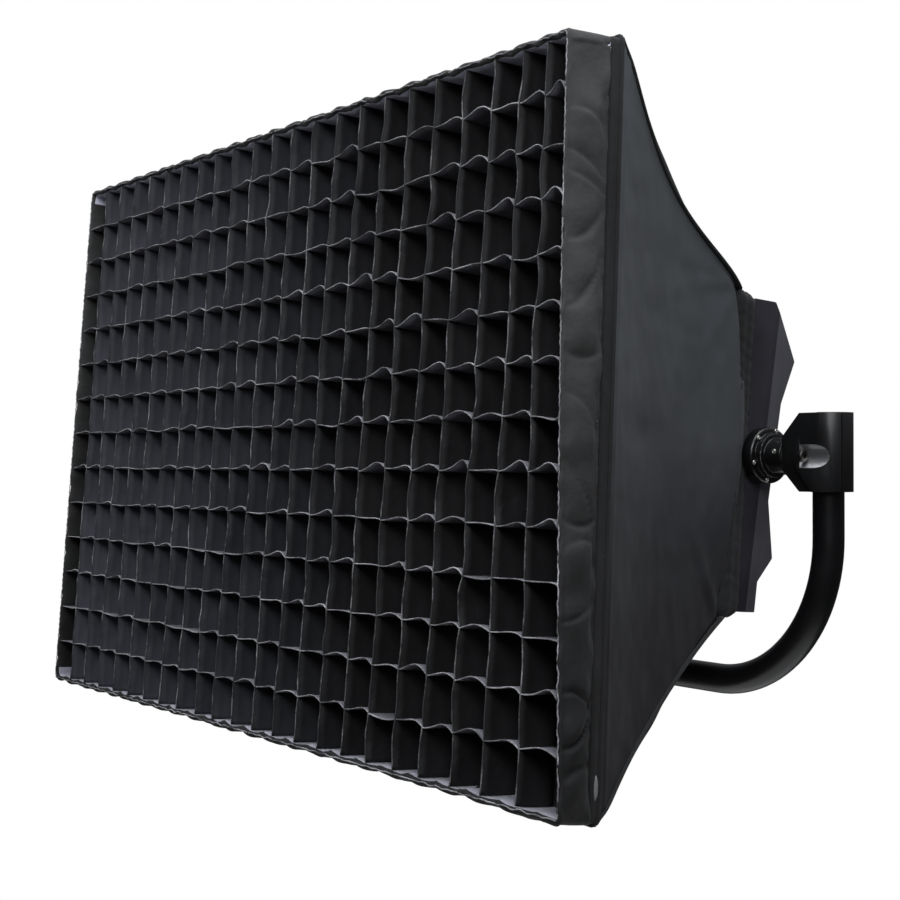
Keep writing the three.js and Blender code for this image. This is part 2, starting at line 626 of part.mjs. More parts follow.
function buildSoftbox(softbox) {
  place(softbox, 'shell_top', shellPanel(false, 1), shellFabric());
  place(softbox, 'shell_bottom', shellPanel(false, -1), shellFabric());
  place(softbox, 'shell_right', shellPanel(true, 1), shellFabric());
  place(softbox, 'shell_left', shellPanel(true, -1), shellFabric());
  for (const [label, sx, sz] of CORNERS) {
    place(softbox, `corner_rod_${label}`, cornerRod(sx, sz), surface(0x202022, 0.4, 0));
  }
  place(softbox, 'mount_frame', mountFrame(), paintedMetal());
  place(softbox, 'rear_collar', rearCollar(), gridFabric());
  place(softbox, 'inner_baffle', innerBaffle(), whiteFabric());
  const gridRear = FRONT_Y + GRID_DEPTH;
  const lip = ring(RIM_HALF, inset(RIM_HALF, LIP), gridRear + GAP, SHELL_FRONT_Y - FABRIC);
  const sheetHalf = inset(RIM_HALF, LIP + GAP);
  const diffuser = box(-sheetHalf.x, sheetHalf.x, -378, -376.5, -sheetHalf.z, sheetHalf.z);
  const borderOuter = inset(RIM_HALF, 0.5);
  const border = ring(borderOuter, inset(borderOuter, BORDER), FRONT_Y, gridRear);
  place(softbox, 'front_lip', lip, gridFabric());
  place(softbox, 'front_diffuser', diffuser, whiteFabric());
  place(softbox, 'grid_border', border, gridFabric());
  place(softbox, 'grid_upright_strips', gridStrips(true), gridFabric());
  place(softbox, 'grid_cross_strips', gridStrips(false), gridFabric());
}

// ---- Assembly -----------------------------------------------------------------------------------

const object = new THREE.Group();
const yoke = new THREE.Group();
const head = new THREE.Group();
yoke.position.z = PIVOT_Z;
head.position.z = PIVOT_Z;
head.rotation.x = THREE.MathUtils.degToRad(-HEAD_TILT);
object.add(yoke, head);

buildYoke(yoke);
buildLight(head);
buildDriver(head);
place(head, 'catch_bracket', catchBracket(), paintedMetal());
place(head, 'catch_lever', catchLever(), bareMetal());
buildSoftbox(head);

export default object;
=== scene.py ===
"""Looks of a softbox with a fabric egg-crate grid on a panel light in a yoke.

Metres, row frame. Pieces of the head are drawn in the head's own axes (X to its right seen from the
front, Y to its back, Z to its top, from the tilt axis) and HEAD puts them into the row frame.
"""

import json
import math
import random

import bpy
import numpy as np
from mathutils import Matrix, Vector


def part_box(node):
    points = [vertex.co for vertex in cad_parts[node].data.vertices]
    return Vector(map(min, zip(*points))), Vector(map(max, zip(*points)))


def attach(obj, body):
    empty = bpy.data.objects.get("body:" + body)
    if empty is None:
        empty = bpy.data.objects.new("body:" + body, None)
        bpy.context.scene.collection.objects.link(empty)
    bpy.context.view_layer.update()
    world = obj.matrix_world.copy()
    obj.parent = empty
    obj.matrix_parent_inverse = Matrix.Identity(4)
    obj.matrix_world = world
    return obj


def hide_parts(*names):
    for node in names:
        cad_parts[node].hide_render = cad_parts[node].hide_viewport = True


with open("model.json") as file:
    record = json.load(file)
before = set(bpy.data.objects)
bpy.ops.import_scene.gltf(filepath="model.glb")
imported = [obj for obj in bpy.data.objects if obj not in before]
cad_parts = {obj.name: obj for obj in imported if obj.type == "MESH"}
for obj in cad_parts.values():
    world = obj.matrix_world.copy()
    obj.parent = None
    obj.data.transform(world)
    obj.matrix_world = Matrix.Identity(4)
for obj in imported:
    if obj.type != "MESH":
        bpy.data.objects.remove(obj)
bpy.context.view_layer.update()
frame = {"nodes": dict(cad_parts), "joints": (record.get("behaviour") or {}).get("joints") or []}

NODES = frame["nodes"]
JOINTS = {joint["name"]: joint for joint in frame["joints"]}

# ---- The head's own axes ----

PIVOT = Vector(JOINTS["head_tilt"]["pos_m"])
HEAD_BACK = -Vector(JOINTS["button_1_press"]["axis"])
LEAN = math.atan2(-HEAD_BACK.z, HEAD_BACK.y)
HEAD = Matrix.Translation(PIVOT) @ Matrix.Rotation(-LEAN, 4, "X")


def span(node):
    """Lowest and highest corner of a CAD node in the head's own axes."""
    inverse = HEAD.inverted()
    points = np.array([inverse @ v.co for v in NODES[node].data.vertices])
    return points.min(0), points.max(0)


# ---- Driving dimensions, from the frame ----

CELL = 0.05
_, UPRIGHT_HIGH = span("grid_upright_strips")
BORDER_LOW, BORDER_HIGH = span("grid_border")
_, LIP_HIGH = span("front_lip")
SHELL_LOW, SHELL_HIGH = span("shell_right")
_, SHELL_TOP = span("shell_top")
COLLAR_LOW, COLLAR_HIGH = span("rear_collar")

COLUMNS = round(2 * UPRIGHT_HIGH[0] / CELL)
ROWS = round(2 * UPRIGHT_HIGH[2] / CELL)
GRID_HALF = (COLUMNS * CELL / 2, ROWS * CELL / 2)
FRONT_Y = BORDER_LOW[1]
GRID_DEPTH = BORDER_HIGH[1] - BORDER_LOW[1]
BORDER_HALF = (BORDER_HIGH[0], BORDER_HIGH[2])
RIM_HALF = (SHELL_HIGH[0], SHELL_TOP[2])
SHELL_FRONT_Y = SHELL_LOW[1]
SHELL_REAR_Y = SHELL_HIGH[1]
COLLAR_HALF = (COLLAR_HIGH[0], COLLAR_HIGH[2])


SLACK_START_X = 0.425
SLACK_SPAN = 0.15
GRID_PULL = (-0.0155, -0.0268, 0.0045)       # pull along X at mid-height, and its change with height
SHELL_PULL = (-0.0185, -0.0140, -0.0010)
PUFF_REACH = 0.085


def right_warp(x, y, z):
    """How far the slack fabric near the right end is pulled in or out along X."""
    weight = np.clip((x - SLACK_START_X) / SLACK_SPAN, 0, 1.1) ** 2
    height = z / GRID_HALF[1]
    at_grid, at_shell = (a + b * height + c * height ** 2 for a, b, c in (GRID_PULL, SHELL_PULL))
    toward_shell = np.clip((y - FRONT_Y) / (SHELL_FRONT_Y - FRONT_Y), 0, 1)
    toward_rear = np.clip((y - SHELL_FRONT_Y) / (SHELL_REAR_Y - SHELL_FRONT_Y), 0, 1)
    pull = at_grid + (at_shell - at_grid) * toward_shell
    return pull * weight * (1 - toward_rear)


def corner_puff(x, y, z):
    """How far the fabric stands up or hangs down, along Z, at the right end's two front corners."""
    along = np.exp(-(((RIM_HALF[0] - x) / PUFF_REACH) ** 2))
    toward_shell = np.clip((y - FRONT_Y) / (SHELL_FRONT_Y - FRONT_Y), 0, 1)
    behind = np.exp(-((np.clip(y - SHELL_FRONT_Y, 0, None) / PUFF_REACH) ** 2))
    up = (0.0010 + 0.0050 * toward_shell ** 1.5) * np.clip((z - 0.26) / 0.09, 0, 1) ** 2
    down = 0.0075 * toward_shell ** 0.5 * np.clip((-z - 0.27) / 0.08, 0, 1) ** 2
    return (up - down) * along * behind


def warped(points):
    """The same lattice of points with the right end's slack in it."""
    points = np.array(points, float)
    x, y, z = (points[..., k].copy() for k in range(3))
    points[..., 0] += right_warp(x, y, z)
    points[..., 2] += corner_puff(x, y, z)
    return points


# ---- Mesh building ----


def chord(points, axis):
    """Mean distance travelled along one axis of a lattice, starting at 0."""
    steps = np.linalg.norm(np.diff(points, axis=axis), axis=-1)
    return np.concatenate([[0], np.cumsum(steps.mean(axis=1 - axis))])


TIP_SHARE = 0.3          # radius of a tube's flat ends, as a share of its own


class Build:
    """Gathers lattices and tubes of quads into one mesh, with a uv map in metres."""

    def __init__(self):
        self.points, self.faces, self.uvs, self.count = [], [], [], 0

    def lattice(self, points, wrap_rows=False, wrap_columns=False):
        points = np.asarray(points, float)
        rows, columns = points.shape[:2]
        full = np.concatenate([points, points[:1]], 0) if wrap_rows else points
        full = np.concatenate([full, full[:, :1]], 1) if wrap_columns else full
        across, along = chord(full, 1), chord(full, 0)
        i, j = np.mgrid[0 : full.shape[0] - 1, 0 : full.shape[1] - 1]
        corners = [(i, j), (i, j + 1), (i + 1, j + 1), (i + 1, j)]
        ids = np.stack([(a % rows) * columns + b % columns for a, b in corners], -1)
        uvs = np.stack([np.stack([across[b], along[a]], -1) for a, b in corners], -2)
        self.points.append(points.reshape(-1, 3))
        self.faces.extend((ids.reshape(-1, 4) + self.count).tolist())
        self.uvs.extend(uvs.reshape(-1, 2).tolist())
        self.count += rows * columns

    def cap(self, ring):
        """One face over the points of a ring, in order."""
        ring = np.asarray(ring, float)
        self.points.append(ring)
        self.faces.append(list(range(self.count, self.count + len(ring))))
        self.uvs.extend((ring[:, :2] - ring[0, :2]).tolist())
        self.count += len(ring)

    def tube(self, path, radius, sides=8, closed=False):
        path = np.asarray(path, float)
        radius = np.broadcast_to(radius, len(path))
        rings = tube_rings(path, radius, sides, closed)
        if closed:
            self.lattice(rings, wrap_rows=True, wrap_columns=True)
            return
        tips = np.stack([np.repeat(path[:1], sides, 0), np.repeat(path[-1:], sides, 0)])
        rings = np.concatenate([tips[:1] + (rings[0] - tips[0]) * TIP_SHARE, rings,
                                tips[1:] + (rings[-1] - tips[1]) * TIP_SHARE])
        self.lattice(rings, wrap_columns=True)
        self.faces.append(list(range(self.count - sides, self.count)))
        start = self.count - sides * len(rings)
        self.faces.append(list(range(start, start + sides))[::-1])
        self.uvs.extend([[0, 0]] * (2 * sides))

    def object(self, name, materials, body, slot, replaces=(), matrix=HEAD):
        mesh = bpy.data.meshes.new(name)
        points = np.concatenate(self.points)
        mesh.from_pydata(points.tolist(), [], self.faces)
        mesh.uv_layers.new(name="cloth").data.foreach_set("uv", np.ravel(self.uvs))
        mesh.polygons.foreach_set("use_smooth", [True] * len(self.faces))
        for material in materials if isinstance(materials, (list, tuple)) else [materials]:
            mesh.materials.append(material)
        mesh.transform(matrix)
        mesh.update()
        piece = bpy.data.objects.new(name, mesh)
        bpy.context.scene.collection.objects.link(piece)
        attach(piece, body)
        if replaces:
            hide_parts(*replaces)
        return piece


def tube_rings(path, radius, sides, closed):
    """Rings of points round a path, without twist."""
    ahead = np.roll(path, -1, 0) - np.roll(path, 1, 0)
    if not closed:
        ahead[0], ahead[-1] = path[1] - path[0], path[-1] - path[-2]
    ahead /= np.linalg.norm(ahead, axis=1)[:, None]
    side = np.cross(ahead[0], [0.31, 0.17, 0.93])
    turns = 2 * math.pi * np.arange(sides) / sides
    rings = []
    for point, direction, r in zip(path, ahead, radius):
        side = side - direction * side.dot(direction)
        side /= np.linalg.norm(side)
        up = np.cross(direction, side)
        rings.append(point + r * (np.outer(np.cos(turns), side) + np.outer(np.sin(turns), up)))
    return np.array(rings)


def paint(piece, material, test, matrix=HEAD):
    """Gives the faces whose middle, seen in the matrix's own axes, passes the test their own material."""
    piece.data.materials.append(material)
    inverse = matrix.inverted()
    for polygon in piece.data.polygons:
        if test(inverse @ polygon.center):
            polygon.material_index = len(piece.data.materials) - 1


def thicken(piece, thickness, offset=-1):
    layer = piece.modifiers.new("thickness", "SOLIDIFY")
    layer.thickness = thickness
    layer.offset = offset
    return piece


def smoothstep(t):
    t = np.clip(t, 0, 1)
    return t * t * (3 - 2 * t)


def rounded_loop(half_x, half_z, corner, step):
    """Points round a rounded rectangle in X and Z, and their outward directions."""
    points, outward = [], []
    corners = [(1, 1, 0), (-1, 1, 90), (-1, -1, 180), (1, -1, 270)]
    turns = max(3, round(corner * math.pi / 2 / step))
    for index, (sx, sz, start) in enumerate(corners):
        centre = np.array([sx * (half_x - corner), sz * (half_z - corner)])
        for k in range(turns + 1):
            angle = math.radians(start + 90 * k / turns)
            direction = np.array([math.cos(angle), math.sin(angle)])
            points.append(centre + corner * direction)
            outward.append(direction)
        nx, nz, following = corners[(index + 1) % 4]
        turn = math.radians(following)
        target = np.array([nx * (half_x - corner), nz * (half_z - corner)])
        target = target + corner * np.array([math.cos(turn), math.sin(turn)])
        gap = target - points[-1]
        count = max(1, round(np.linalg.norm(gap) / step))
        last = points[-1]
        for k in range(1, count):
            points.append(last + gap * k / count)
            outward.append(outward[-1])
    return np.array(points), np.array(outward)


def wave_noise(rng, count, shortest, longest):
    """A smooth random function of a length, about -1 to 1, as a sum of sines."""
    waves = [(rng.uniform(shortest, longest), rng.uniform(0, 2 * math.pi)) for _ in range(count)]

    def value(s):
        return sum(np.sin(2 * math.pi * s / length + phase) for length, phase in waves) / count ** 0.5

    return value


# ---- Materials ----


class Nodes:
    """Short calls for building a node material."""

    def __init__(self, name, roughness=0.5, metallic=0.0):
        self.material = bpy.data.materials.new(name)
        self.material.use_nodes = True
        self.tree = self.material.node_tree
        self.shader = self.tree.nodes["Principled BSDF"]
        self.set(Roughness=roughness, Metallic=metallic)

    def set(self, **values):
        for key, value in values.items():
            self.shader.inputs[key.replace("_", " ")].default_value = value

    def new(self, kind, **values):
        node = self.tree.nodes.new("ShaderNode" + kind)
        for key, value in values.items():
            setattr(node, key, value)
        return node

    def link(self, source, target):
        self.tree.links.new(source, target)

    def place(self, source="object", scale=(1, 1, 1)):
        """Object or cloth coordinates, stretched by scale."""
        if source == "cloth":
            base = self.new("UVMap", uv_map="cloth").outputs["UV"]
        else:
            base = self.new("TexCoord").outputs["Object"]
        mapping = self.new("Mapping")
        mapping.inputs["Scale"].default_value = scale
        self.link(base, mapping.inputs["Vector"])
        return mapping.outputs["Vector"]

    def noise(self, where, scale, detail=3.0, roughness=0.5):
        node = self.new("TexNoise")
        node.inputs["Scale"].default_value = scale
        node.inputs["Detail"].default_value = detail
        node.inputs["Roughness"].default_value = roughness
        self.link(where, node.inputs["Vector"])
        return node.outputs["Fac"]

    def math(self, operation, first, second=0.0):
        node = self.new("Math", operation=operation)
        for pin, value in zip(node.inputs, (first, second)):
            if isinstance(value, (int, float)):
                pin.default_value = value
            else:
                self.link(value, pin)
        return node.outputs[0]

    def ramp(self, value, low, high, start=0.0, end=1.0):
        """Value from start..end to low..high, clamped; numbers or colours."""
        if isinstance(low, (tuple, list)):
            node = self.new("ValToRGB")
            node.color_ramp.elements[0].position = start
            node.color_ramp.elements[1].position = end
            node.color_ramp.elements[0].color = (*low, 1)
            node.color_ramp.elements[1].color = (*high, 1)
            self.link(value, node.inputs[0])
            return node.outputs["Color"]
        node = self.new("MapRange")
        for key, number in zip(("From Min", "From Max", "To Min", "To Max"), (start, end, low, high)):
            node.inputs[key].default_value = number
        self.link(value, node.inputs["Value"])
        return node.outputs["Result"]

    def mix(self, factor, first, second):
        node = self.new("Mix", data_type="RGBA")
        for pin, value in ((node.inputs[0], factor), (node.inputs[6], first), (node.inputs[7], second)):
            if isinstance(value, (tuple, list)):
                pin.default_value = (*value, 1)
            elif isinstance(value, (int, float)):
                pin.default_value = value
            else:
                self.link(value, pin)
        return node.outputs[2]

    def scaled(self, colour, value):
        node = self.new("VectorMath", operation="SCALE")
        self.link(colour, node.inputs[0])
        self.link(value, node.inputs["Scale"])
        return node.outputs[0]

    def weave(self, where, pitch):
        """Height of a plain weave whose threads are pitch apart."""
        split = self.new("SeparateXYZ")
        self.link(where, split.inputs[0])
        rate = math.pi / pitch
        warp = self.math("ABSOLUTE", self.math("SINE", self.math("MULTIPLY", split.outputs[0], rate)))
        weft = self.math("ABSOLUTE", self.math("SINE", self.math("MULTIPLY", split.outputs[1], rate)))
        return self.math("MULTIPLY", warp, weft)

    def bump(self, height, distance, strength=1.0, under=None):
        node = self.new("Bump")
        node.inputs["Distance"].default_value = distance
        node.inputs["Strength"].default_value = strength
        self.link(height, node.inputs["Height"])
        if under is not None:
            self.link(under, node.inputs["Normal"])
        return node.outputs["Normal"]

    def finish(self, colour=None, roughness=None, normal=None):
        for key, value in (("Base Color", colour), ("Roughness", roughness), ("Normal", normal)):
            if value is not None:
                self.link(value, self.shader.inputs[key])
        return self.material


def woven(name, dark, light, rough, pitch=0.0006, sheen=0.1, specular=0.3, crumple=0.0008,
          relief=0.5, shade=None, depth=None, specks=0.35, detail=3.0):
    """Black cloth: thread weave, faded patches, small crumples.

    shade is (axis, start, end, colour): painted light and shade: from start to end along that axis the
    cloth turns to that colour, standing in for light that falls off across the piece.
    depth is (distance, front, deep): painted light and shade: the colour is scaled from front to deep over
    that distance along its V, darkening the lit front of a cell wall and lightening its shaded depth.
    specks is how much of the faded colour shows in fine worn spots, detail how fine the crumples get.
    """
    n = Nodes(name)
    cloth, place = n.place("cloth"), n.place()
    patches = n.noise(place, 9, 4)
    crumples = n.noise(place, 34, detail, 0.55)
    weave = n.weave(cloth, pitch)
    colour = n.ramp(patches, dark, light, 0.3, 0.72)
    worn = n.ramp(n.noise(place, 260, 2), 0, specks, 0.55, 0.8)
    colour = n.mix(worn, colour, light)
    # painted light and shade: the colour ramps to the shade colour along one axis
    if shade is not None:
        axis, start, end, deep = shade
        split = n.new("SeparateXYZ")
        n.link(place, split.inputs[0])
        uneven = n.math("ADD", split.outputs[axis], n.math("MULTIPLY", patches, 0.16))
        tinted = n.mix(n.ramp(patches, 0.2, 0.8, 0.3, 0.7), deep, tuple(1.25 * c for c in deep))
        colour = n.mix(n.ramp(uneven, 0, 1, start, end), colour, tinted)
    # painted light and shade across the depth of the grid's cells
    if depth is not None:
        distance, front, deep = depth
        split = n.new("SeparateXYZ")
        n.link(cloth, split.inputs[0])
        colour = n.scaled(colour, n.ramp(split.outputs[1], front, deep, 0.0, distance))
    coarse = n.bump(crumples, crumple * 4, 0.6)
    fine = n.bump(weave, pitch * 0.35, relief, coarse)
    n.set(Specular_IOR_Level=specular, Sheen_Weight=sheen, Sheen_Roughness=0.45)
    return n.finish(colour, n.ramp(patches, rough - 0.07, rough + 0.08, 0.3, 0.7), fine)


def frayed_edge_highlight(name, bare, pale, start, end):
    """The cut front edge of a strip: pale fused threads that come and go, with a painted highlight where
    the edge catches the light.
    """
    n = Nodes(name, roughness=0.75)
    place = n.place()
    broken = n.noise(place, 30, 5, 0.7)
    fine = n.noise(place, 700, 3, 0.7)
    colour = n.ramp(broken, bare, pale, start, end)
    colour = n.mix(n.ramp(fine, 0, 0.7, 0.4, 0.7), colour, bare)
    n.set(Specular_IOR_Level=0.2)
    return n.finish(colour, None, n.bump(fine, 0.0004, 0.6))


def powder_coat(name, dark, light, rough, grain=1500.0, wear=(0.10, 0.10, 0.10), specular=0.5):
    """Paint with an orange-peel grain, faint rubbing marks and dust."""
    n = Nodes(name)
    place = n.place()
    peel = n.noise(place, grain, 2)
    broad = n.noise(place, 14, 4)
    scuffs = n.noise(n.place(scale=(1, 1, 8)), 60, 6, 0.7)
    colour = n.mix(n.ramp(scuffs, 0, 0.5, 0.64, 0.78), n.ramp(broad, dark, light, 0.3, 0.7), wear)
    rough_map = n.math("ADD", n.ramp(broad, rough - 0.05, rough + 0.06, 0.3, 0.7),
                       n.ramp(scuffs, 0, 0.12, 0.6, 0.8))
    n.set(Specular_IOR_Level=specular)
    return n.finish(colour, rough_map, n.bump(peel, 0.00025, 0.35))


def brushed(name, dark, light, rough, scale=(1, 1, 30)):
    """Machined or brushed bare metal."""
    n = Nodes(name, metallic=1.0)
    lines = n.noise(n.place(scale=scale), 220, 4, 0.6)
    stain = n.noise(n.place(), 30, 4)
    colour = n.mix(n.ramp(stain, 0, 0.4, 0.45, 0.75), n.ramp(lines, dark, light, 0.3, 0.7), dark)
    return n.finish(colour, n.ramp(lines, rough - 0.06, rough + 0.1, 0.3, 0.7), n.bump(lines, 0.0001, 0.3))


def moulded(name, dark, light, rough, grain=2600.0, specular=0.4):
    """Moulded plastic or rubber with a fine spark-eroded grain."""
    n = Nodes(name)
    place = n.place()
    broad = n.noise(place, 22, 3)
    grained = n.bump(n.noise(place, grain, 2), 0.00015, 0.4)
    n.set(Specular_IOR_Level=specular)
    return n.finish(n.ramp(broad, dark, light, 0.3, 0.7),
                    n.ramp(broad, rough - 0.05, rough + 0.07, 0.3, 0.7), grained)


def diffusion_cloth():
    """White ripstop with a raised grid of thicker threads."""
    n = Nodes("diffusion_cloth", roughness=0.8)
    cloth, place = n.place("cloth"), n.place()
    ripstop = n.weave(cloth, 0.006)
    cloud = n.noise(place, 12, 4)
    colour = n.ramp(cloud, (0.72, 0.72, 0.70), (0.84, 0.84, 0.82), 0.3, 0.7)
    colour = n.mix(n.ramp(ripstop, 0.25, 0, 0.0, 0.12), colour, (0.62, 0.62, 0.6))
    low = n.bump(n.noise(place, 24, 3), 0.003, 0.5)
    n.set(Specular_IOR_Level=0.3, Sheen_Weight=0.15)
    return n.finish(colour, None, n.bump(ripstop, 0.0004, 0.5, low))


def frosted_acrylic():
    n = Nodes("frosted_acrylic", roughness=0.4)
    fine = n.noise(n.place(), 900, 2)
    cloud = n.noise(n.place(), 8, 2)
    n.set(Specular_IOR_Level=0.5)
    return n.finish(n.ramp(cloud, (0.78, 0.78, 0.76), (0.86, 0.86, 0.84), 0.3, 0.7), None,
                    n.bump(fine, 0.0002, 0.4))


def board(name, dark, light, track):
    """A circuit board's solder mask with faint tracks under it."""
    n = Nodes(name, roughness=0.45)
    place = n.place(scale=(1, 0.2, 1))
    tracks = n.new("TexBrick")
    tracks.inputs["Scale"].default_value = 60
    tracks.inputs["Mortar Size"].default_value = 0.04
    tracks.inputs["Color1"].default_value = (*dark, 1)
    tracks.inputs["Color2"].default_value = (*light, 1)
    tracks.inputs["Mortar"].default_value = (*track, 1)
    n.link(place, tracks.inputs["Vector"])
    return n.finish(tracks.outputs["Color"], None, n.bump(tracks.outputs["Fac"], 0.0002, 0.3))


def display_glass():
    """A dark screen under glass with faint smudges."""
    n = Nodes("display_glass", roughness=0.1)
    smudge = n.noise(n.place(), 40, 5, 0.6)
    colour = n.ramp(smudge, (0.006, 0.007, 0.009), (0.012, 0.013, 0.016), 0.3, 0.7)
    return n.finish(colour, n.ramp(smudge, 0.07, 0.22, 0.4, 0.75))


# The shell is painted darker towards the bottom: painted shade, as the light comes from above.
SHELL = woven("shell_satin", (0.046, 0.050, 0.055), (0.063, 0.068, 0.074), 0.60,
              pitch=0.0007, sheen=0.03, specular=0.20, crumple=0.0009, relief=0.02,
              shade=(2, 0.56, 0.30, (0.0085, 0.0080, 0.0102)), specks=0.06, detail=0.5)
# The band is painted darker towards the bottom: painted shade, as the light comes from above.
BAND = woven("band_cloth", (0.028, 0.028, 0.028), (0.045, 0.045, 0.045), 0.78,
             pitch=0.0008, sheen=0.03, specular=0.2, crumple=0.0012, relief=0.08,
             shade=(2, 0.60, 0.22, (0.0080, 0.0080, 0.0083)), specks=0.15)
# The upright strips are painted darker towards the right end (painted shade), and darker at their front
# edges and lighter in depth (painted light and shade inside the cells).
STRIP = woven("strip_cloth", (0.040, 0.043, 0.052), (0.062, 0.066, 0.080), 0.55,
              sheen=0.02, specular=0.22, relief=0.3,
              shade=(0, -0.45, 0.30, (0.0062, 0.0060, 0.0066)), depth=(0.034, 0.45, 2.1))
# The cross strips are a lighter copy of the strip cloth: painted light on their top and bottom faces.
CROSS_STRIP_LIT = woven("cross_strip_lit_cloth", (0.065, 0.065, 0.078), (0.115, 0.114, 0.135), 0.6,
                    crumple=0.001)
# Painted light: the band's inner faces near the top and bottom are a light lilac, brightest at the top,
# standing in for light from below.
BAND_INSIDE_LIT = woven("band_inside_painted_light", (0.24, 0.24, 0.28), (0.40, 0.40, 0.46), 0.6,
                    pitch=0.0008, crumple=0.0015,
                    shade=(2, 0.35, 0.60, (0.58, 0.58, 0.70)))
DARK_CLOTH = woven("collar_cloth", (0.010, 0.010, 0.010), (0.020, 0.020, 0.021), 0.85,
                   pitch=0.0009, sheen=0.05, specular=0.15, crumple=0.001)
WEBBING = woven("tab_webbing", (0.10, 0.10, 0.10), (0.22, 0.22, 0.215), 0.8,
                pitch=0.0012, specular=0.2, crumple=0.0004)
# The strips' front edges: pale fused threads, partly painted highlight where the edges catch the light.
UPRIGHT_EDGE_LIT = frayed_edge_highlight("upright_fray_highlight", (0.030, 0.031, 0.034), (0.32, 0.32, 0.33), 0.48, 0.72)
CROSS_EDGE_LIT = frayed_edge_highlight("cross_fray_highlight", (0.060, 0.060, 0.066), (0.46, 0.46, 0.48), 0.38, 0.68)
DIFFUSION = diffusion_cloth()
YOKE_PAINT = powder_coat("yoke_paint", (0.0020, 0.0020, 0.0024), (0.0036, 0.0036, 0.0040), 0.34,
                         wear=(0.02, 0.02, 0.02), specular=0.28)
CLAMP_PAINT = powder_coat("clamp_paint", (0.004, 0.004, 0.0043), (0.007, 0.007, 0.0074), 0.38,
                          wear=(0.05, 0.05, 0.05), specular=0.3)
HUB_BLACK = powder_coat("hub_anodising", (0.0018, 0.0018, 0.0020), (0.003, 0.003, 0.0033), 0.20,
                        grain=2400.0, wear=(0.02, 0.02, 0.02), specular=0.4)
PANEL_PAINT = powder_coat("panel_paint", (0.046, 0.045, 0.052), (0.066, 0.065, 0.075), 0.5,
                          grain=1100.0, wear=(0.12, 0.12, 0.13), specular=0.32)
# Painted shade: the front zone of the side plates, in front of their bend, is darker where it faces away
# from the light.
PANEL_SHADED = powder_coat("panel_painted_shade", (0.014, 0.0135, 0.018), (0.022, 0.021, 0.027), 0.5,
                         grain=1100.0, wear=(0.07, 0.07, 0.08), specular=0.3)
STEEL = brushed("bare_steel", (0.42, 0.41, 0.38), (0.66, 0.65, 0.61), 0.26)
ALUMINIUM = brushed("aluminium", (0.50, 0.50, 0.51), (0.62, 0.62, 0.63), 0.38, (1, 30, 1))
BLACK_OXIDE = brushed("black_oxide", (0.03, 0.03, 0.03), (0.09, 0.085, 0.08), 0.35)
PLASTIC = moulded("black_plastic", (0.014, 0.014, 0.015), (0.024, 0.024, 0.025), 0.48)
RUBBER = moulded("rubber", (0.013, 0.013, 0.013), (0.022, 0.022, 0.022), 0.8, 1400.0, 0.25)
ACRYLIC = frosted_acrylic()
LED_MASK = board("led_board", (0.74, 0.74, 0.70), (0.80, 0.80, 0.76), (0.60, 0.60, 0.56))
GREEN_MASK = board("circuit_board", (0.018, 0.10, 0.045), (0.022, 0.12, 0.05), (0.05, 0.19, 0.09))
GLASS = display_glass()
FIBREGLASS = moulded("fibreglass", (0.016, 0.016, 0.017), (0.03, 0.03, 0.032), 0.35, 400.0, 0.5)
WASHER = moulded("washer_fibre", (0.012, 0.012, 0.012), (0.025, 0.024, 0.023), 0.85, 900.0, 0.2)


# ---- Carried-over CAD nodes ----

CAD_MATERIALS = {
    "yoke_base_block": YOKE_PAINT, "stand_spigot": STEEL, "clamp_block": CLAMP_PAINT,
    "friction_washer": WASHER, "clamp_bolt": BLACK_OXIDE, "tilt_lock_lever": PLASTIC,
    "front_bezel": PANEL_PAINT, "diffuser_window": ACRYLIC, "led_board": LED_MASK,
    "heat_sink": ALUMINIUM, "rear_cover": PANEL_PAINT, "side_plate": PANEL_PAINT,
    "tilt_hub": HUB_BLACK, "fan_frame": PLASTIC, "fan_guard": YOKE_PAINT, "fan_rotor": PLASTIC,
    "driver_housing": PANEL_PAINT, "control_plate": YOKE_PAINT, "power_supply": ALUMINIUM,
    "control_board": GREEN_MASK, "display": GLASS, "power_inlet": PLASTIC, "data_socket": STEEL,
    "button": RUBBER, "encoder_shaft": STEEL, "encoder_knob": PLASTIC, "power_rocker": PLASTIC,
    "catch_bracket": YOKE_PAINT, "catch_lever": STEEL, "corner_rod": FIBREGLASS,
    "mount_frame": YOKE_PAINT,
}
BEVEL_WIDTH = {
    "clamp_block": 0.0018, "yoke_base_block": 0.002, "tilt_lock_lever": 0.0015, "tilt_hub": 0.0008,
    "side_plate": 0.0012, "driver_housing": 0.0012, "front_bezel": 0.0008, "fan_frame": 0.0008,
    "encoder_knob": 0.0005, "stand_spigot": 0.0005, "power_inlet": 0.0006, "control_plate": 0.0005,
}
DEFAULT_BEVEL = 0.0004
WELD_GAP = 0.00001
SHARP_ANGLE = math.radians(32)


def kind_of(name, table):
    """The longest key of table that a node's name starts with."""
    keys = [key for key in table if name.startswith(key)]
    return max(keys, key=len) if keys else None


def dress_cad_nodes():
    for name, node in NODES.items():
        key = kind_of(name, CAD_MATERIALS)
        if key is None:
            continue
        node.data.materials.clear()
        node.data.materials.append(CAD_MATERIALS[key])
        weld = node.modifiers.new("weld", "WELD")
        weld.merge_threshold = WELD_GAP
        bevel = node.modifiers.new("bevel", "BEVEL")
        bevel.width = BEVEL_WIDTH.get(kind_of(name, BEVEL_WIDTH), DEFAULT_BEVEL)
        bevel.segments = 2
        bevel.limit_method = "ANGLE"
        bevel.angle_limit = SHARP_ANGLE
        bevel.harden_normals = True
        for polygon in node.data.polygons:
            polygon.use_smooth = True


# ---- Camera, lights and floor ----

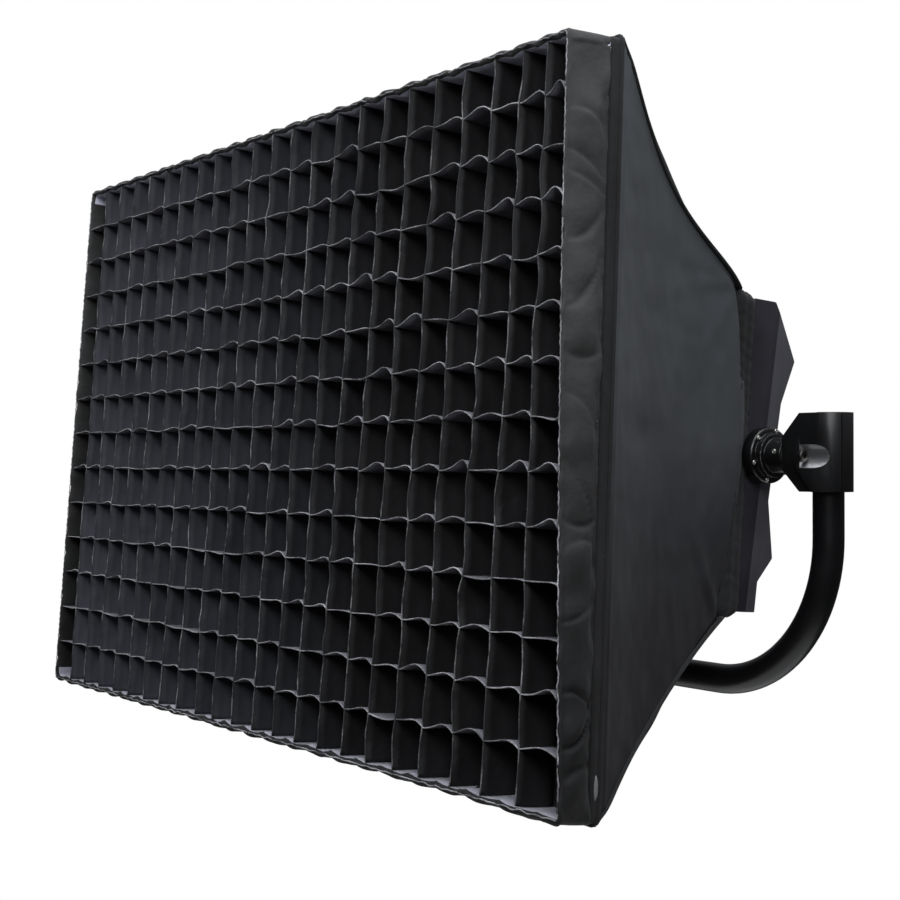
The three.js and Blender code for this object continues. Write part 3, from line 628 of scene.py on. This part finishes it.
CAMERA_FROM_PIVOT = Vector((1.7277, -1.3503, -0.0070))
CAMERA_AZIMUTH = math.radians(55.54)
CAMERA_PITCH = math.radians(0.404)
LENS = 66.5
FLOOR_Z = -1.3
FLOOR_R = 1.3


def make_camera():
    data = bpy.data.cameras.new("camera")
    data.lens = LENS
    data.clip_start = 0.05
    camera = bpy.data.objects.new("camera", data)
    camera.location = PIVOT + CAMERA_FROM_PIVOT
    ahead = Vector((-math.sin(CAMERA_AZIMUTH) * math.cos(CAMERA_PITCH),
                    math.cos(CAMERA_AZIMUTH) * math.cos(CAMERA_PITCH), math.sin(CAMERA_PITCH)))
    camera.rotation_mode = "QUATERNION"
    camera.rotation_quaternion = ahead.to_track_quat("-Z", "Y")
    bpy.context.scene.collection.objects.link(camera)
    bpy.context.scene.camera = camera


def area_light(name, place, target, size, watts, colour):
    data = bpy.data.lights.new(name, "AREA")
    data.shape = "SQUARE"
    data.size = size
    data.energy = watts
    data.color = colour
    light = bpy.data.objects.new(name, data)
    light.location = place
    light.rotation_euler = (Vector(target) - Vector(place)).to_track_quat("-Z", "Y").to_euler()
    bpy.context.scene.collection.objects.link(light)


def make_world():
    """A white surround for the camera; a soft dome that is brighter above lights the object."""
    world = bpy.data.worlds.new("studio")
    bpy.context.scene.world = world
    world.use_nodes = True
    tree = world.node_tree
    tree.nodes.clear()
    kinds = ("TexCoord", "SeparateXYZ", "MapRange", "Background", "Background", "LightPath",
             "MixShader", "OutputWorld")
    where, split, height, seen, dome, path, mix, out = (
        tree.nodes.new("ShaderNode" + kind) for kind in kinds)
    for key, number in (("From Min", 0.0), ("From Max", 0.9), ("To Min", 0.05), ("To Max", 0.70)):
        height.inputs[key].default_value = number
    seen.inputs["Strength"].default_value = 1.0
    seen.inputs["Color"].default_value = (1, 1, 1, 1)
    dome.inputs["Color"].default_value = (0.94, 0.96, 1, 1)
    tree.links.new(where.outputs["Generated"], split.inputs[0])
    tree.links.new(split.outputs[2], height.inputs["Value"])
    tree.links.new(height.outputs["Result"], dome.inputs["Strength"])
    tree.links.new(path.outputs["Is Camera Ray"], mix.inputs[0])
    tree.links.new(dome.outputs[0], mix.inputs[1])
    tree.links.new(seen.outputs[0], mix.inputs[2])
    tree.links.new(mix.outputs[0], out.inputs["Surface"])


def make_floor():
    n = Nodes("floor_paper", roughness=0.9)
    grain = n.noise(n.place(), 3, 3)
    n.set(Specular_IOR_Level=0.1)
    n.shader.inputs["Emission Color"].default_value = (1, 1, 1, 1)
    n.shader.inputs["Emission Strength"].default_value = 0.45
    paper = n.finish(n.ramp(grain, (0.80, 0.80, 0.80), (0.83, 0.83, 0.83)))
    sides = 96
    mesh = bpy.data.meshes.new("floor")
    turns = [2 * math.pi * k / sides for k in range(sides)]
    rim = [(FLOOR_R * math.cos(t), FLOOR_R * math.sin(t), FLOOR_Z) for t in turns]
    mesh.from_pydata(rim, [], [list(range(sides))])
    mesh.materials.append(paper)
    floor = bpy.data.objects.new("floor", mesh)
    bpy.context.scene.collection.objects.link(floor)


LIGHTS = (     # name, place, target, size, watts, colour
    ("overhead", (0.2, -0.5, 3.0), (0, -0.1, 0.4), 2.4, 95, (0.95, 0.97, 1.0)),
    ("front_fill", (-1.6, -3.4, 1.4), (0, 0, 0.4), 2.0, 16, (1.0, 0.99, 0.97)),
    ("broad_key", (2.6, -2.0, 1.9), (0, -0.3, 0.45), 1.2, 66, (0.95, 0.97, 1.0)),
    ("side_key", (1.3, -0.3, 1.9), (0.5, -0.2, 0.75), 0.5, 8, (0.90, 0.95, 1.0)),
)


def make_studio():
    bpy.context.scene.view_settings.view_transform = "Standard"
    make_world()
    make_floor()
    for light in LIGHTS:
        area_light(*light)


# ---- Egg-crate grid ----

STRIP_THICKNESS = 0.0009
EDGE_R = 0.0007
FRONT_ARCH = 0.0088      # how high a slack cross strip stands between two crossings
REAR_ARCH = 0.0020
PER_CELL = 12
DEPTHS = np.linspace(0, 1, 6)


def slackness(x, z):
    """Strips hang looser towards the right and the top."""
    return 0.35 + 0.65 * smoothstep((x / GRID_HALF[0] + 1) / 2) * (0.70 + 0.30 * z / GRID_HALF[1])


def upright_lattice(rng, x0):
    z = np.linspace(-GRID_HALF[1], GRID_HALF[1], ROWS * PER_CELL + 1)
    drift = wave_noise(rng, 4, 0.12, 0.5)(z) * 0.0012
    bow = np.zeros_like(z)
    for row in range(ROWS):
        inside = (z + GRID_HALF[1]) / CELL - row
        arch = np.where((inside >= 0) & (inside <= 1), np.sin(math.pi * np.clip(inside, 0, 1)), 0)
        bow += arch * rng.gauss(0, 0.0021)
    front = drift + bow * slackness(x0, z)
    rear = -0.4 * front + wave_noise(rng, 3, 0.2, 0.6)(z) * 0.0008
    mix = smoothstep(DEPTHS)[:, None]
    x = x0 + front * (1 - mix) + rear * mix
    frayed = wave_noise(rng, 5, 0.02, 0.11)(z) * 0.0006
    y = FRONT_Y + 0.001 + DEPTHS[:, None] * (GRID_DEPTH - 0.002) + frayed * (1 - DEPTHS[:, None])
    return warped(np.stack([x, y, np.broadcast_to(z, x.shape)], -1))


def cross_line(rng, x, height):
    """Height of one edge of a cross strip: an arch in each cell between its crossings."""
    knots = np.array([rng.gauss(0, 0.0011) for _ in range(COLUMNS + 1)])
    line = np.interp(x, np.linspace(-GRID_HALF[0], GRID_HALF[0], COLUMNS + 1), knots)
    for column in range(COLUMNS):
        inside = (x + GRID_HALF[0]) / CELL - column
        held = (inside >= 0) & (inside <= 1)
        skew = rng.uniform(1.1, 2.7)
        arch = np.sin(math.pi * np.clip(inside, 0, 1) ** skew)
        size = rng.choice((1.25, 1, 1, 0.7, 0.5, 0.2, -0.4)) * rng.uniform(0.7, 1.25)
        line += np.where(held, arch * size * height, 0)
    return line


def cross_lattice(rng, z0):
    x = np.linspace(-GRID_HALF[0], GRID_HALF[0], COLUMNS * PER_CELL + 1)
    loose = slackness(x, z0)
    front = cross_line(rng, x, FRONT_ARCH) * loose
    rear = front * 0.25 + cross_line(rng, x, REAR_ARCH) * loose
    mix = smoothstep(DEPTHS)[:, None]
    z = z0 + front * (1 - mix) + rear * mix
    frayed = wave_noise(rng, 6, 0.02, 0.09)(x) * 0.0005
    y = FRONT_Y + 0.0014 + DEPTHS[:, None] * (GRID_DEPTH - 0.003) + frayed * (1 - DEPTHS[:, None])
    return warped(np.stack([np.broadcast_to(x, z.shape), y, z], -1))


def make_grid():
    rng = random.Random(7)
    uprights, upright_edges = Build(), Build()
    for column in range(1, COLUMNS):
        lattice = upright_lattice(rng, (column - COLUMNS / 2) * CELL)
        uprights.lattice(lattice)
        upright_edges.tube(lattice[0], EDGE_R, 6)
    crosses, cross_edges = Build(), Build()
    for row in range(1, ROWS):
        lattice = cross_lattice(rng, (row - ROWS / 2) * CELL)
        crosses.lattice(lattice)
        cross_edges.tube(lattice[0], EDGE_R, 6)
    upright = uprights.object("upright_strips", STRIP, "head", "grid_fabric", ["grid_upright_strips"])
    cross = crosses.object("cross_strips", CROSS_STRIP_LIT, "head", "grid_fabric", ["grid_cross_strips"])
    upright_edge = upright_edges.object("upright_strip_edges", UPRIGHT_EDGE_LIT, "head", "grid_fabric")
    cross_edge = cross_edges.object("cross_strip_edges", CROSS_EDGE_LIT, "head", "grid_fabric")
    for piece in (upright, cross):
        thicken(piece, STRIP_THICKNESS, 0)


# ---- Border band, lip and piping ----

BAND_THICKNESS = BORDER_HIGH[0] - GRID_HALF[0]
LOOP_STEP = 0.0016
LIP_STEP = 0.006
FRONT_CORNER_R = 0.010
HEM_R = 0.0022
PIPING_R = 0.0021
PILLOW = 0.0054          # how far the band bulges between its hem and its rear edge
ROLL = 0.0050            # how far its rear edge is drawn in
SCALLOP = 0.0036         # how far its top and bottom stand out between the cross points of the grid
SCALLOP_BASE = 0.0020
SCALLOP_REACH = 0.022
# painted light: the band's inner faces are painted lighter this near to the top and the bottom
LIT_INSIDE_REACH = 0.012     # the lining is seen this near to the top and the bottom


def creases(rng, length):
    """Fold lines across a band: (place along it, lean, bend, depth, width)."""
    found, place = [], 0.0
    while place < length:
        place += rng.uniform(0.020, 0.075)
        found.append((place, rng.uniform(-0.03, 0.03), rng.choice((-1, 1)) * rng.uniform(0.01, 0.045),
                      rng.uniform(0.0030, 0.0068), rng.uniform(0.0012, 0.0024)))
    return found


def crease_depth(lines, along, across):
    """How far the fold lines pull a band in, across going from 0 to 1 over its width."""
    pulled = np.zeros(np.broadcast(along, across).shape)
    for place, lean, bend, depth, width in lines:
        line = place + lean * across + bend * across ** 2
        away = (along - line) / width
        away = np.where(away > 0, away * 0.3, away)
        pulled -= depth * np.exp(-np.abs(away) ** 1.3) * np.sin(math.pi * np.clip(across, 0.04, 1)) ** 0.6
    return pulled


def band_section(steps):
    """Across the band from its inner rear edge, round the front hem, to its outer rear edge.

    Each row is (distance inwards from the outer face, distance behind the front, wrinkle share, across).
    """
    inner = [(BAND_THICKNESS, depth, 0.25, 0.0) for depth in np.linspace(GRID_DEPTH, 0.004, 6)]
    hem = [(BAND_THICKNESS / 2 + HEM_R * 1.25 * math.cos(a), 0.0024 - HEM_R * 1.1 * math.sin(a), 0.1, 0.0)
           for a in np.linspace(0.1, math.pi - 0.1, 7)]
    outer = [(0.0004, 0.004 + (GRID_DEPTH - 0.006) * t, 1.0, t) for t in np.linspace(0, 1, steps)]
    tail = [(0.0075, GRID_DEPTH, 0.0, 1.0)]
    return inner + hem + outer + tail


def make_band():
    rng = random.Random(11)
    loop, outward = rounded_loop(*BORDER_HALF, FRONT_CORNER_R, LOOP_STEP)
    closed = np.concatenate([loop, loop[:1]])
    along = np.concatenate([[0], np.cumsum(np.linalg.norm(np.diff(closed, axis=0), axis=1))])
    length, along = along[-1], along[:-1]
    lines = creases(rng, length)
    swell = wave_noise(rng, 6, 0.05, 0.22)
    wobble = wave_noise(rng, 7, 0.012, 0.06)
    build, rows = Build(), []
    for inwards, depth, share, across in band_section(14):
        roll = ROLL * float(smoothstep((across - 0.68) / 0.32))
        pillow = PILLOW * math.sin(math.pi * across ** 0.8) - roll if 0 < across < 1 else -roll
        pillow = pillow * (1 + 0.6 * swell(along)) * (1 - 0.75 * np.abs(outward[:, 1]))
        shift = share * (pillow + crease_depth(lines, along, np.full(len(along), across)))
        shift = shift + 0.0005 * swell(along + across * 0.03) * share + 0.0004 * wobble(along)
        scallop = SCALLOP * np.abs(np.sin(math.pi * loop[:, 0] / CELL)) ** 0.8 * np.abs(outward[:, 1])
        scallop = scallop - SCALLOP_BASE * np.abs(outward[:, 1])
        shift = shift + scallop * math.exp(-depth / SCALLOP_REACH)
        flat = loop + outward * (shift - inwards)[:, None]
        y = np.full(len(loop), FRONT_Y + depth) + 0.0007 * wobble(along + 0.3) * (1 - across)
        rows.append(np.stack([flat[:, 0], y, flat[:, 1]], -1))
    build.lattice(warped(np.array(rows)), wrap_rows=True, wrap_columns=True)
    band = build.object("border_band", BAND, "head", "grid_fabric", ["grid_border"])
    # painted light: inner faces near the top and the bottom take the lit inside colour
    band.data.materials.append(BAND_INSIDE_LIT)
    for polygon in band.data.polygons[: 5 * len(loop)]:
        if abs((HEAD.inverted() @ polygon.center).z) > GRID_HALF[1] - LIT_INSIDE_REACH:
            polygon.material_index = 1
    stitch = hem_thread(loop, outward, along, wobble)


def hem_thread(loop, outward, along, wobble):
    """A pale, puckered line of stitches just behind the band's front hem."""
    build = Build()
    stagger = 0.0007 * np.sin(2 * math.pi * along / 0.008)
    inwards = BAND_THICKNESS / 2 + 0.0002 + 0.0005 * wobble(along * 1.7)
    flat = loop - outward * inwards[:, None]
    path = np.stack([flat[:, 0], FRONT_Y - 0.0003 + stagger * 0.4, flat[:, 1]], -1)
    build.tube(warped(path), 0.0007, 6, closed=True)
    return build.object("hem_stitches", CROSS_EDGE_LIT, "head", "grid_fabric")


def loop_sheet(loop, outward, section, unevenness):
    """Rows of points round a loop: section is a list of (distance inwards, y)."""
    rows = []
    for inwards, y in section:
        flat = loop + outward * (unevenness(inwards, y) - inwards)[:, None]
        rows.append(np.stack([flat[:, 0], np.full(len(loop), y), flat[:, 1]], -1))
    return np.array(rows)


def make_lip():
    """The dark fabric channel between the grid's band and the shell, with a piping cord in it."""
    rng = random.Random(5)
    loop, outward = rounded_loop(*RIM_HALF, FRONT_CORNER_R, LIP_STEP)
    grid_rear = FRONT_Y + GRID_DEPTH
    ripple = wave_noise(rng, 6, 0.03, 0.12)
    along = np.arange(len(loop)) * LIP_STEP
    section = [(0.0120, grid_rear + 0.0005), (0.0030, grid_rear + 0.001), (0.0028, grid_rear + 0.003),
               (0.0034, grid_rear + 0.006), (0.0026, LIP_HIGH[1] - 0.001), (0.0045, LIP_HIGH[1])]
    build = Build()
    rows = loop_sheet(loop, outward, section, lambda inwards, y: 0.0005 * ripple(along + y))
    build.lattice(warped(rows), wrap_columns=True)
    lip = build.object("lip_band", DARK_CLOTH, "head", "grid_fabric", ["front_lip"])
    thicken(lip, 0.0012, -1)
    piping = Build()
    centre = loop - outward * 0.0006
    path = np.stack([centre[:, 0], np.full(len(loop), SHELL_FRONT_Y - 0.0006), centre[:, 1]], -1)
    piping.tube(warped(path), PIPING_R, 10, closed=True)
    cord = piping.object("front_piping", DARK_CLOTH, "head", "grid_fabric")


# ---- Shell ----

SEAM_PULL = {1: 0.028, -1: 0.0085}     # how far the corner seams bow inwards at the top and the bottom
SEAM_SKEW = {1: 1.6, -1: 1.0}          # above 1 the bow is deepest nearer the front
CORNER_TUCK = 0.0036
PANEL_SAG = 0.010
SHELL_STEPS = 56
BULGE, BULGE_CURVE, BULGE_Z, BULGE_LEAST = 0.0185, 0.9, 0.012, -0.008
WELT_R = 0.0024
TAB_HEIGHTS = (-0.336, -0.316)


def seam_point(u, sx, sz):
    """A point of a corner seam; u goes from 0 at the front to 1 at the rear."""
    front = np.array([sx * RIM_HALF[0], SHELL_FRONT_Y, sz * RIM_HALF[1]])
    rear = np.array([sx * COLLAR_HALF[0], SHELL_REAR_Y, sz * COLLAR_HALF[1]])
    u = np.asarray(u, float)
    skew = SEAM_SKEW[sz]
    deepest = 1 / (1 + skew)
    bow = u * (1 - u) ** skew / (deepest * (1 - deepest) ** skew)
    pull = SEAM_PULL[sz] * bow + CORNER_TUCK * np.exp(-((u / 0.045) ** 2))
    straight = front + (rear - front) * u[..., None]
    bowed = straight - np.stack([sx * pull, 0 * pull, sz * pull], -1)
    return warped(bowed)


def hem_ridges(distance):
    """Two soft rolls of the doubled hem at the front of a panel."""
    first = 0.0016 * np.exp(-(((distance - 0.006) / 0.0045) ** 2))
    second = 0.0012 * np.exp(-(((distance - 0.019) / 0.006) ** 2))
    return first + second


def panel_points(rng, sideways, sign, across_steps):
    """One shell panel from seam to seam, sagging between its rods."""
    u = np.linspace(0, 1, SHELL_STEPS) ** 1.35
    v = np.linspace(0, 1, across_steps)
    ends = [(sign, -1), (sign, 1)] if sideways else [(-1, sign), (1, sign)]
    low, high = (seam_point(u, *end) for end in ends)
    points = low[:, None] + (high - low)[:, None] * v[None, :, None]
    outward = np.cross(high[0] - low[0], low[-1] - low[0])
    outward /= np.linalg.norm(outward)
    if outward @ (np.array([sign, 0, 0]) if sideways else np.array([0, 0, sign])) < 0:
        outward = -outward
    length = np.linalg.norm(low[-1] - low[0])
    distance = (u * length)[:, None] + 0 * v[None]
    middle = 4 * v * (1 - v)
    sag = PANEL_SAG * (4 * u * (1 - u))[:, None] * middle[None] ** 0.8
    width = np.linalg.norm(high[0] - low[0])
    folds = panel_folds(rng, u[:, None], v[None], width)
    shift = hem_ridges(distance) - sag + folds
    points = points + outward * shift[..., None]
    if sideways:
        points[..., 1] += rear_bulge(points[..., 2]) * (u ** 4)[:, None]
    return points, outward, length, width


def rear_bulge(z):
    """How far a side panel's rear edge rides up over the collar, most at mid-height."""
    return np.clip(BULGE - BULGE_CURVE * (z - BULGE_Z) ** 2, BULGE_LEAST, None)


def panel_folds(rng, u, v, width):
    """Long shallow tension folds: some along the panel, some fanning out from its corners."""
    total = np.zeros(np.broadcast(u, v).shape)
    edge = np.clip(u / 0.08, 0, 1) * np.clip((1 - u) / 0.06, 0, 1)
    edge = edge * np.clip(np.minimum(v, 1 - v) / 0.03, 0, 1)
    for _ in range(round(width / 0.05)):
        centre, lean = rng.uniform(0.03, 0.97), rng.uniform(-0.12, 0.12)
        size, broad = rng.uniform(-0.0028, 0.0022), rng.uniform(0.010, 0.045)
        start, reach = rng.uniform(0, 0.5), rng.uniform(0.3, 0.8)
        along = np.exp(-(((u - start - reach / 2) / (reach / 2)) ** 4))
        total += size * along * np.exp(-(((v - centre - lean * u) * width / broad) ** 2))
    for corner in (0.0, 1.0):
        for _ in range(5):
            angle, size = rng.uniform(0.15, 1.3), rng.uniform(0.0006, 0.0018)
            du, dv = (1 - u) * 0.38, np.abs(v - corner) * width * 0.6
            away = du * math.sin(angle) - dv * math.cos(angle)
            reach = np.hypot(du, dv)
            ridge = size * np.exp(-((away / 0.006) ** 2))
            total += ridge * np.exp(-((reach / 0.16) ** 2)) * smoothstep(reach / 0.03)
    return total * edge


def make_panel(name, rng, sideways, sign, across_steps, node):
    points, outward, length, width = panel_points(rng, sideways, sign, across_steps)
    normal = np.cross(points[0, 1] - points[0, 0], points[1, 0] - points[0, 0])
    if normal @ outward < 0:
        points = points[:, ::-1]
    build = Build()
    build.lattice(points)
    panel = build.object(name, (SHELL, DARK_CLOTH), "head", "shell_fabric", [node])
    thicken(panel, 0.0016, -1)
    panel.modifiers["thickness"].material_offset_rim = 1


def make_seams():
    """Welts where the panels are sewn together, with the seam allowance standing up as a thin fin."""
    rng = random.Random(31)
    u = np.linspace(0.0, 1.0, 70)
    for name, sx, sz in (("top_right", 1, 1), ("top_left", -1, 1),
                         ("bottom_right", 1, -1), ("bottom_left", -1, -1)):
        line = seam_point(u, sx, sz)
        welt = Build()
        welt.tube(line, WELT_R, 10)
        welt.object(f"seam_welt_{name}", DARK_CLOTH, "head", "shell_fabric")
        fin = Build()
        swell = 0.0012 + 0.0034 * np.exp(-(((u - 0.36) / 0.16) ** 2))
        height = swell * (1 + 0.12 * wave_noise(rng, 4, 0.15, 0.5)(u)) * smoothstep(u / 0.12)
        height = np.maximum(height, 0.0018) * (1 if sz > 0 else 0.8)
        outward = np.array([sx * 0.45, 0.25, sz * 0.86])
        rows = [line + outward * (height * share)[:, None] for share in (0, 0.5, 1.0)]
        fin.lattice(np.array(rows))
        flap = fin.object(f"seam_allowance_{name}", SHELL, "head", "shell_fabric")
        thicken(flap, 0.0014, 0)


def make_shell():
    rng = random.Random(19)
    make_panel("right_panel", rng, True, 1, 90, "shell_right")
    make_panel("left_panel", rng, True, -1, 90, "shell_left")
    make_panel("top_panel", rng, False, 1, 140, "shell_top")
    make_panel("bottom_panel", rng, False, -1, 140, "shell_bottom")
    make_seams()
    make_pull_tab()


def make_pull_tab():
    """The end of a pale webbing loop that shows in the channel near the lower right corner."""
    out = np.array([0.0, 0.0022, 0.0036, 0.0040, 0.0036, 0.0022, 0.0])
    back = np.array([-0.0030, -0.0026, -0.0014, 0.0, 0.0014, 0.0026, 0.0030])
    height = np.linspace(*TAB_HEIGHTS, 9)
    round_off = 1 - 0.6 * np.abs(np.linspace(-1, 1, 9)) ** 3
    x = RIM_HALF[0] - 0.0036 + out[:, None] * round_off
    y = SHELL_FRONT_Y - 0.0052 + back[:, None] * round_off
    build = Build()
    build.lattice(warped(np.stack([x, y, np.broadcast_to(height, x.shape)], -1)))
    tab = build.object("pull_tab", WEBBING, "head", "shell_fabric")
    thicken(tab, 0.0010, 0)


# ---- Rear collar, diffuser and baffle ----

COLLAR_STEP = 0.003
COLLAR_CORNER_R = 0.014
CATCH_NOTCH = 0.020      # half the gap that the collar leaves for the catch


def make_collar():
    """A gathered elastic collar that closes the shell round the panel light."""
    rng = random.Random(23)
    loop, outward = rounded_loop(*COLLAR_HALF, COLLAR_CORNER_R, COLLAR_STEP)
    along = np.arange(len(loop)) * COLLAR_STEP
    gather = wave_noise(rng, 5, 0.008, 0.02)
    low, high = COLLAR_LOW[1], COLLAR_HIGH[1]
    section = [(0.0095, low - 0.020), (0.0035, low - 0.010), (-0.0005, low - 0.002), (-0.0022, low + 0.003),
               (-0.0010, low + 0.008), (0.0022, high - 0.006), (0.0016, high - 0.002),
               (0.0034, high + 0.003), (0.0056, high + 0.0066)]
    rows = loop_sheet(loop, outward, section, lambda inwards, y: 0.0005 * gather(along + 1.33 * inwards))
    keep = np.abs(loop[:, 0]) > CATCH_NOTCH
    keep |= loop[:, 1] < 0
    start = int(np.argmin(keep)) if not keep.all() else 0
    order = np.roll(np.arange(len(loop)), -start)
    order = order[keep[order]]
    build = Build()
    build.lattice(rows[:, order])
    collar = build.object("elastic_collar", DARK_CLOTH, "head", "grid_fabric", ["rear_collar"])
    thicken(collar, 0.0016, -1)


def flat_cloth(name, node, ripple, steps, inset=0.0, border=0.02):
    """A hung cloth panel the size of its CAD node, slack between its edges, with a black border."""
    low, high = span(node)
    x = np.linspace(low[0] + inset, high[0] - inset, steps[0])
    z = np.linspace(low[2] + inset, high[2] - inset, steps[1])
    gx, gz = np.meshgrid(x, z)
    edge = np.minimum(1, np.minimum(high[0] - np.abs(gx), high[2] - np.abs(gz)) / 0.06)
    y = (low[1] + high[1]) / 2 + ripple(gx, gz) * np.clip(edge, 0, 1)
    points = warped(np.stack([gx, y, gz], -1))
    build = Build()
    build.lattice(points)
    piece = build.object(name, DIFFUSION, "head", "diffusion_fabric", [node])
    paint(piece, DARK_CLOTH, lambda c: abs(c.x) > high[0] - border or abs(c.z) > high[2] - border)
    thicken(piece, 0.0005, 0)
    return piece, (high[0] - low[0], high[2] - low[2])


def make_inner_cloths():
    waves = wave_noise(random.Random(3), 5, 0.15, 0.5)
    drift = wave_noise(random.Random(4), 5, 0.2, 0.6)
    piece, size = flat_cloth("diffusion_front", "front_diffuser",
                             lambda x, z: 0.0022 * waves(x + 0.3 * z) + 0.002, (116, 72), 0.001, 0.06)
    piece, size = flat_cloth("diffusion_inner", "inner_baffle",
                             lambda x, z: 0.003 * drift(x - 0.4 * z), (70, 40))


# ---- Yoke ----

YOKE_BEND = 0.168        # centre-line radius of the tube's two bends


def yoke_path():
    """Centre line of the bent tube, from the top of one arm to the top of the other."""
    low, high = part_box("yoke_tube")
    radius = (high.y - low.y) / 2
    arm_x = high.x - radius
    bottom = low.z + radius
    arc = [(arm_x - YOKE_BEND * (1 - math.cos(a)), bottom + YOKE_BEND * (1 - math.sin(a)))
           for a in np.linspace(0, math.pi / 2, 28)]
    right = [(arm_x, high.z), (arm_x, high.z - 0.004)] + arc
    path = right + [(-x, z) for x, z in reversed(right)]
    return np.array([(x, 0, z) for x, z in path]), radius


def make_yoke_tube():
    path, radius = yoke_path()
    build = Build()
    build.tube(path, radius, 40)
    build.object("yoke_bent_tube", YOKE_PAINT, "yoke", "yoke_paint", ["yoke_tube"], Matrix.Identity(4))


# ---- Small hardware ----


def turned(build, profile, matrix, sides):
    """A turned piece: profile is (radius, height) from the axis out and back, along the matrix's Z."""
    rings = []
    for r, h in profile:
        ring = [matrix @ Vector((r * math.cos(t), r * math.sin(t), h))
                for t in (2 * math.pi * k / sides for k in range(sides))]
        rings.append([tuple(p) for p in ring])
    rings = np.array(rings)
    build.lattice(rings[1:-1], wrap_columns=True)
    build.cap(rings[1][::-1])
    build.cap(rings[-2])


def facing(place, direction):
    """A matrix at place whose Z looks along direction, in the head's own axes."""
    turn = Vector(direction).to_track_quat("Z", "Y").to_matrix().to_4x4()
    return Matrix.Translation(Vector(place)) @ turn


def screw(build, place, direction, r=0.0028, h=0.0016):
    profile = [(0, 0), (r, 0), (r, h * 0.6), (r * 0.8, h), (r * 0.45, h), (r * 0.45, h * 0.4), (0, h * 0.4)]
    turned(build, profile, facing(place, direction), 16)


HUB_FOOT_X = 0.396       # outer face of a hub's foot
HUB_FOOT_R = 0.0315
HUB_COLLAR_R = 0.025
SET_SCREW = (0.419, -0.0193, 0.003)
PLATE_BEND = (0.009, 0.084)      # place of a side plate's bend along Y at mid-height, and its slope
GROOVE_Y, GROOVE_R, GROOVE_DEPTH = -0.0325, 0.0143, 0.0075


def make_hub_screws():
    """Socket screws round each tilt hub's foot, and a set screw in its barrel."""
    for label, side in (("right", 1), ("left", -1)):
        build = Build()
        for k in range(6):
            angle = math.radians(20 + 60 * k)
            spot = [(HUB_FOOT_R + HUB_COLLAR_R) / 2 * turn(angle) for turn in (math.cos, math.sin)]
            screw(build, (side * HUB_FOOT_X, *spot), (side, 0, 0), 0.0024)
        screw(build, (side * SET_SCREW[0], *SET_SCREW[1:]), (0, -1, 0), 0.0028, 0.001)
        build.object(f"hub_screws_{label}", STEEL, "head", "bare_steel")


def paint_plate_shade():
    """Painted shade: the side plates are darker in front of their bend, where they face away from the
    light.
    """
    for label in ("right", "left"):
        paint(NODES[f"side_plate_{label}"], PANEL_SHADED, lambda c: c.y < PLATE_BEND[0] + PLATE_BEND[1] * c.z)


def paint_bolt_recess():
    """The machined groove that leads to the right clamp's bolt is bare metal."""
    low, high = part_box("clamp_bolt")
    middle = (low + high) / 2 - PIVOT

    def in_groove(c):
        aside = math.hypot(c.y - GROOVE_Y, c.z - middle.z)
        return c.x > high.x - PIVOT.x - GROOVE_DEPTH and aside < GROOVE_R

    paint(NODES["clamp_block_right"], ALUMINIUM, in_groove, Matrix.Translation(PIVOT))


def make_plate_screws():
    """Screws that hold the control plate."""
    build = Build()
    low, plate = span("control_plate")
    for x in (low[0] + 0.008, plate[0] - 0.008):
        for z in (low[2] + 0.008, plate[2] - 0.008):
            screw(build, (x, plate[1], z), (0, 1, 0))
    build.object("panel_screws", STEEL, "head", "bare_steel")


def make_hardware():
    make_hub_screws()
    paint_bolt_recess()
    paint_plate_shade()
    make_plate_screws()


# ---- Assembly ----

make_camera()
make_studio()
dress_cad_nodes()
make_grid()
make_band()
make_lip()
make_shell()
make_collar()
make_inner_cloths()
make_yoke_tube()
make_hardware()
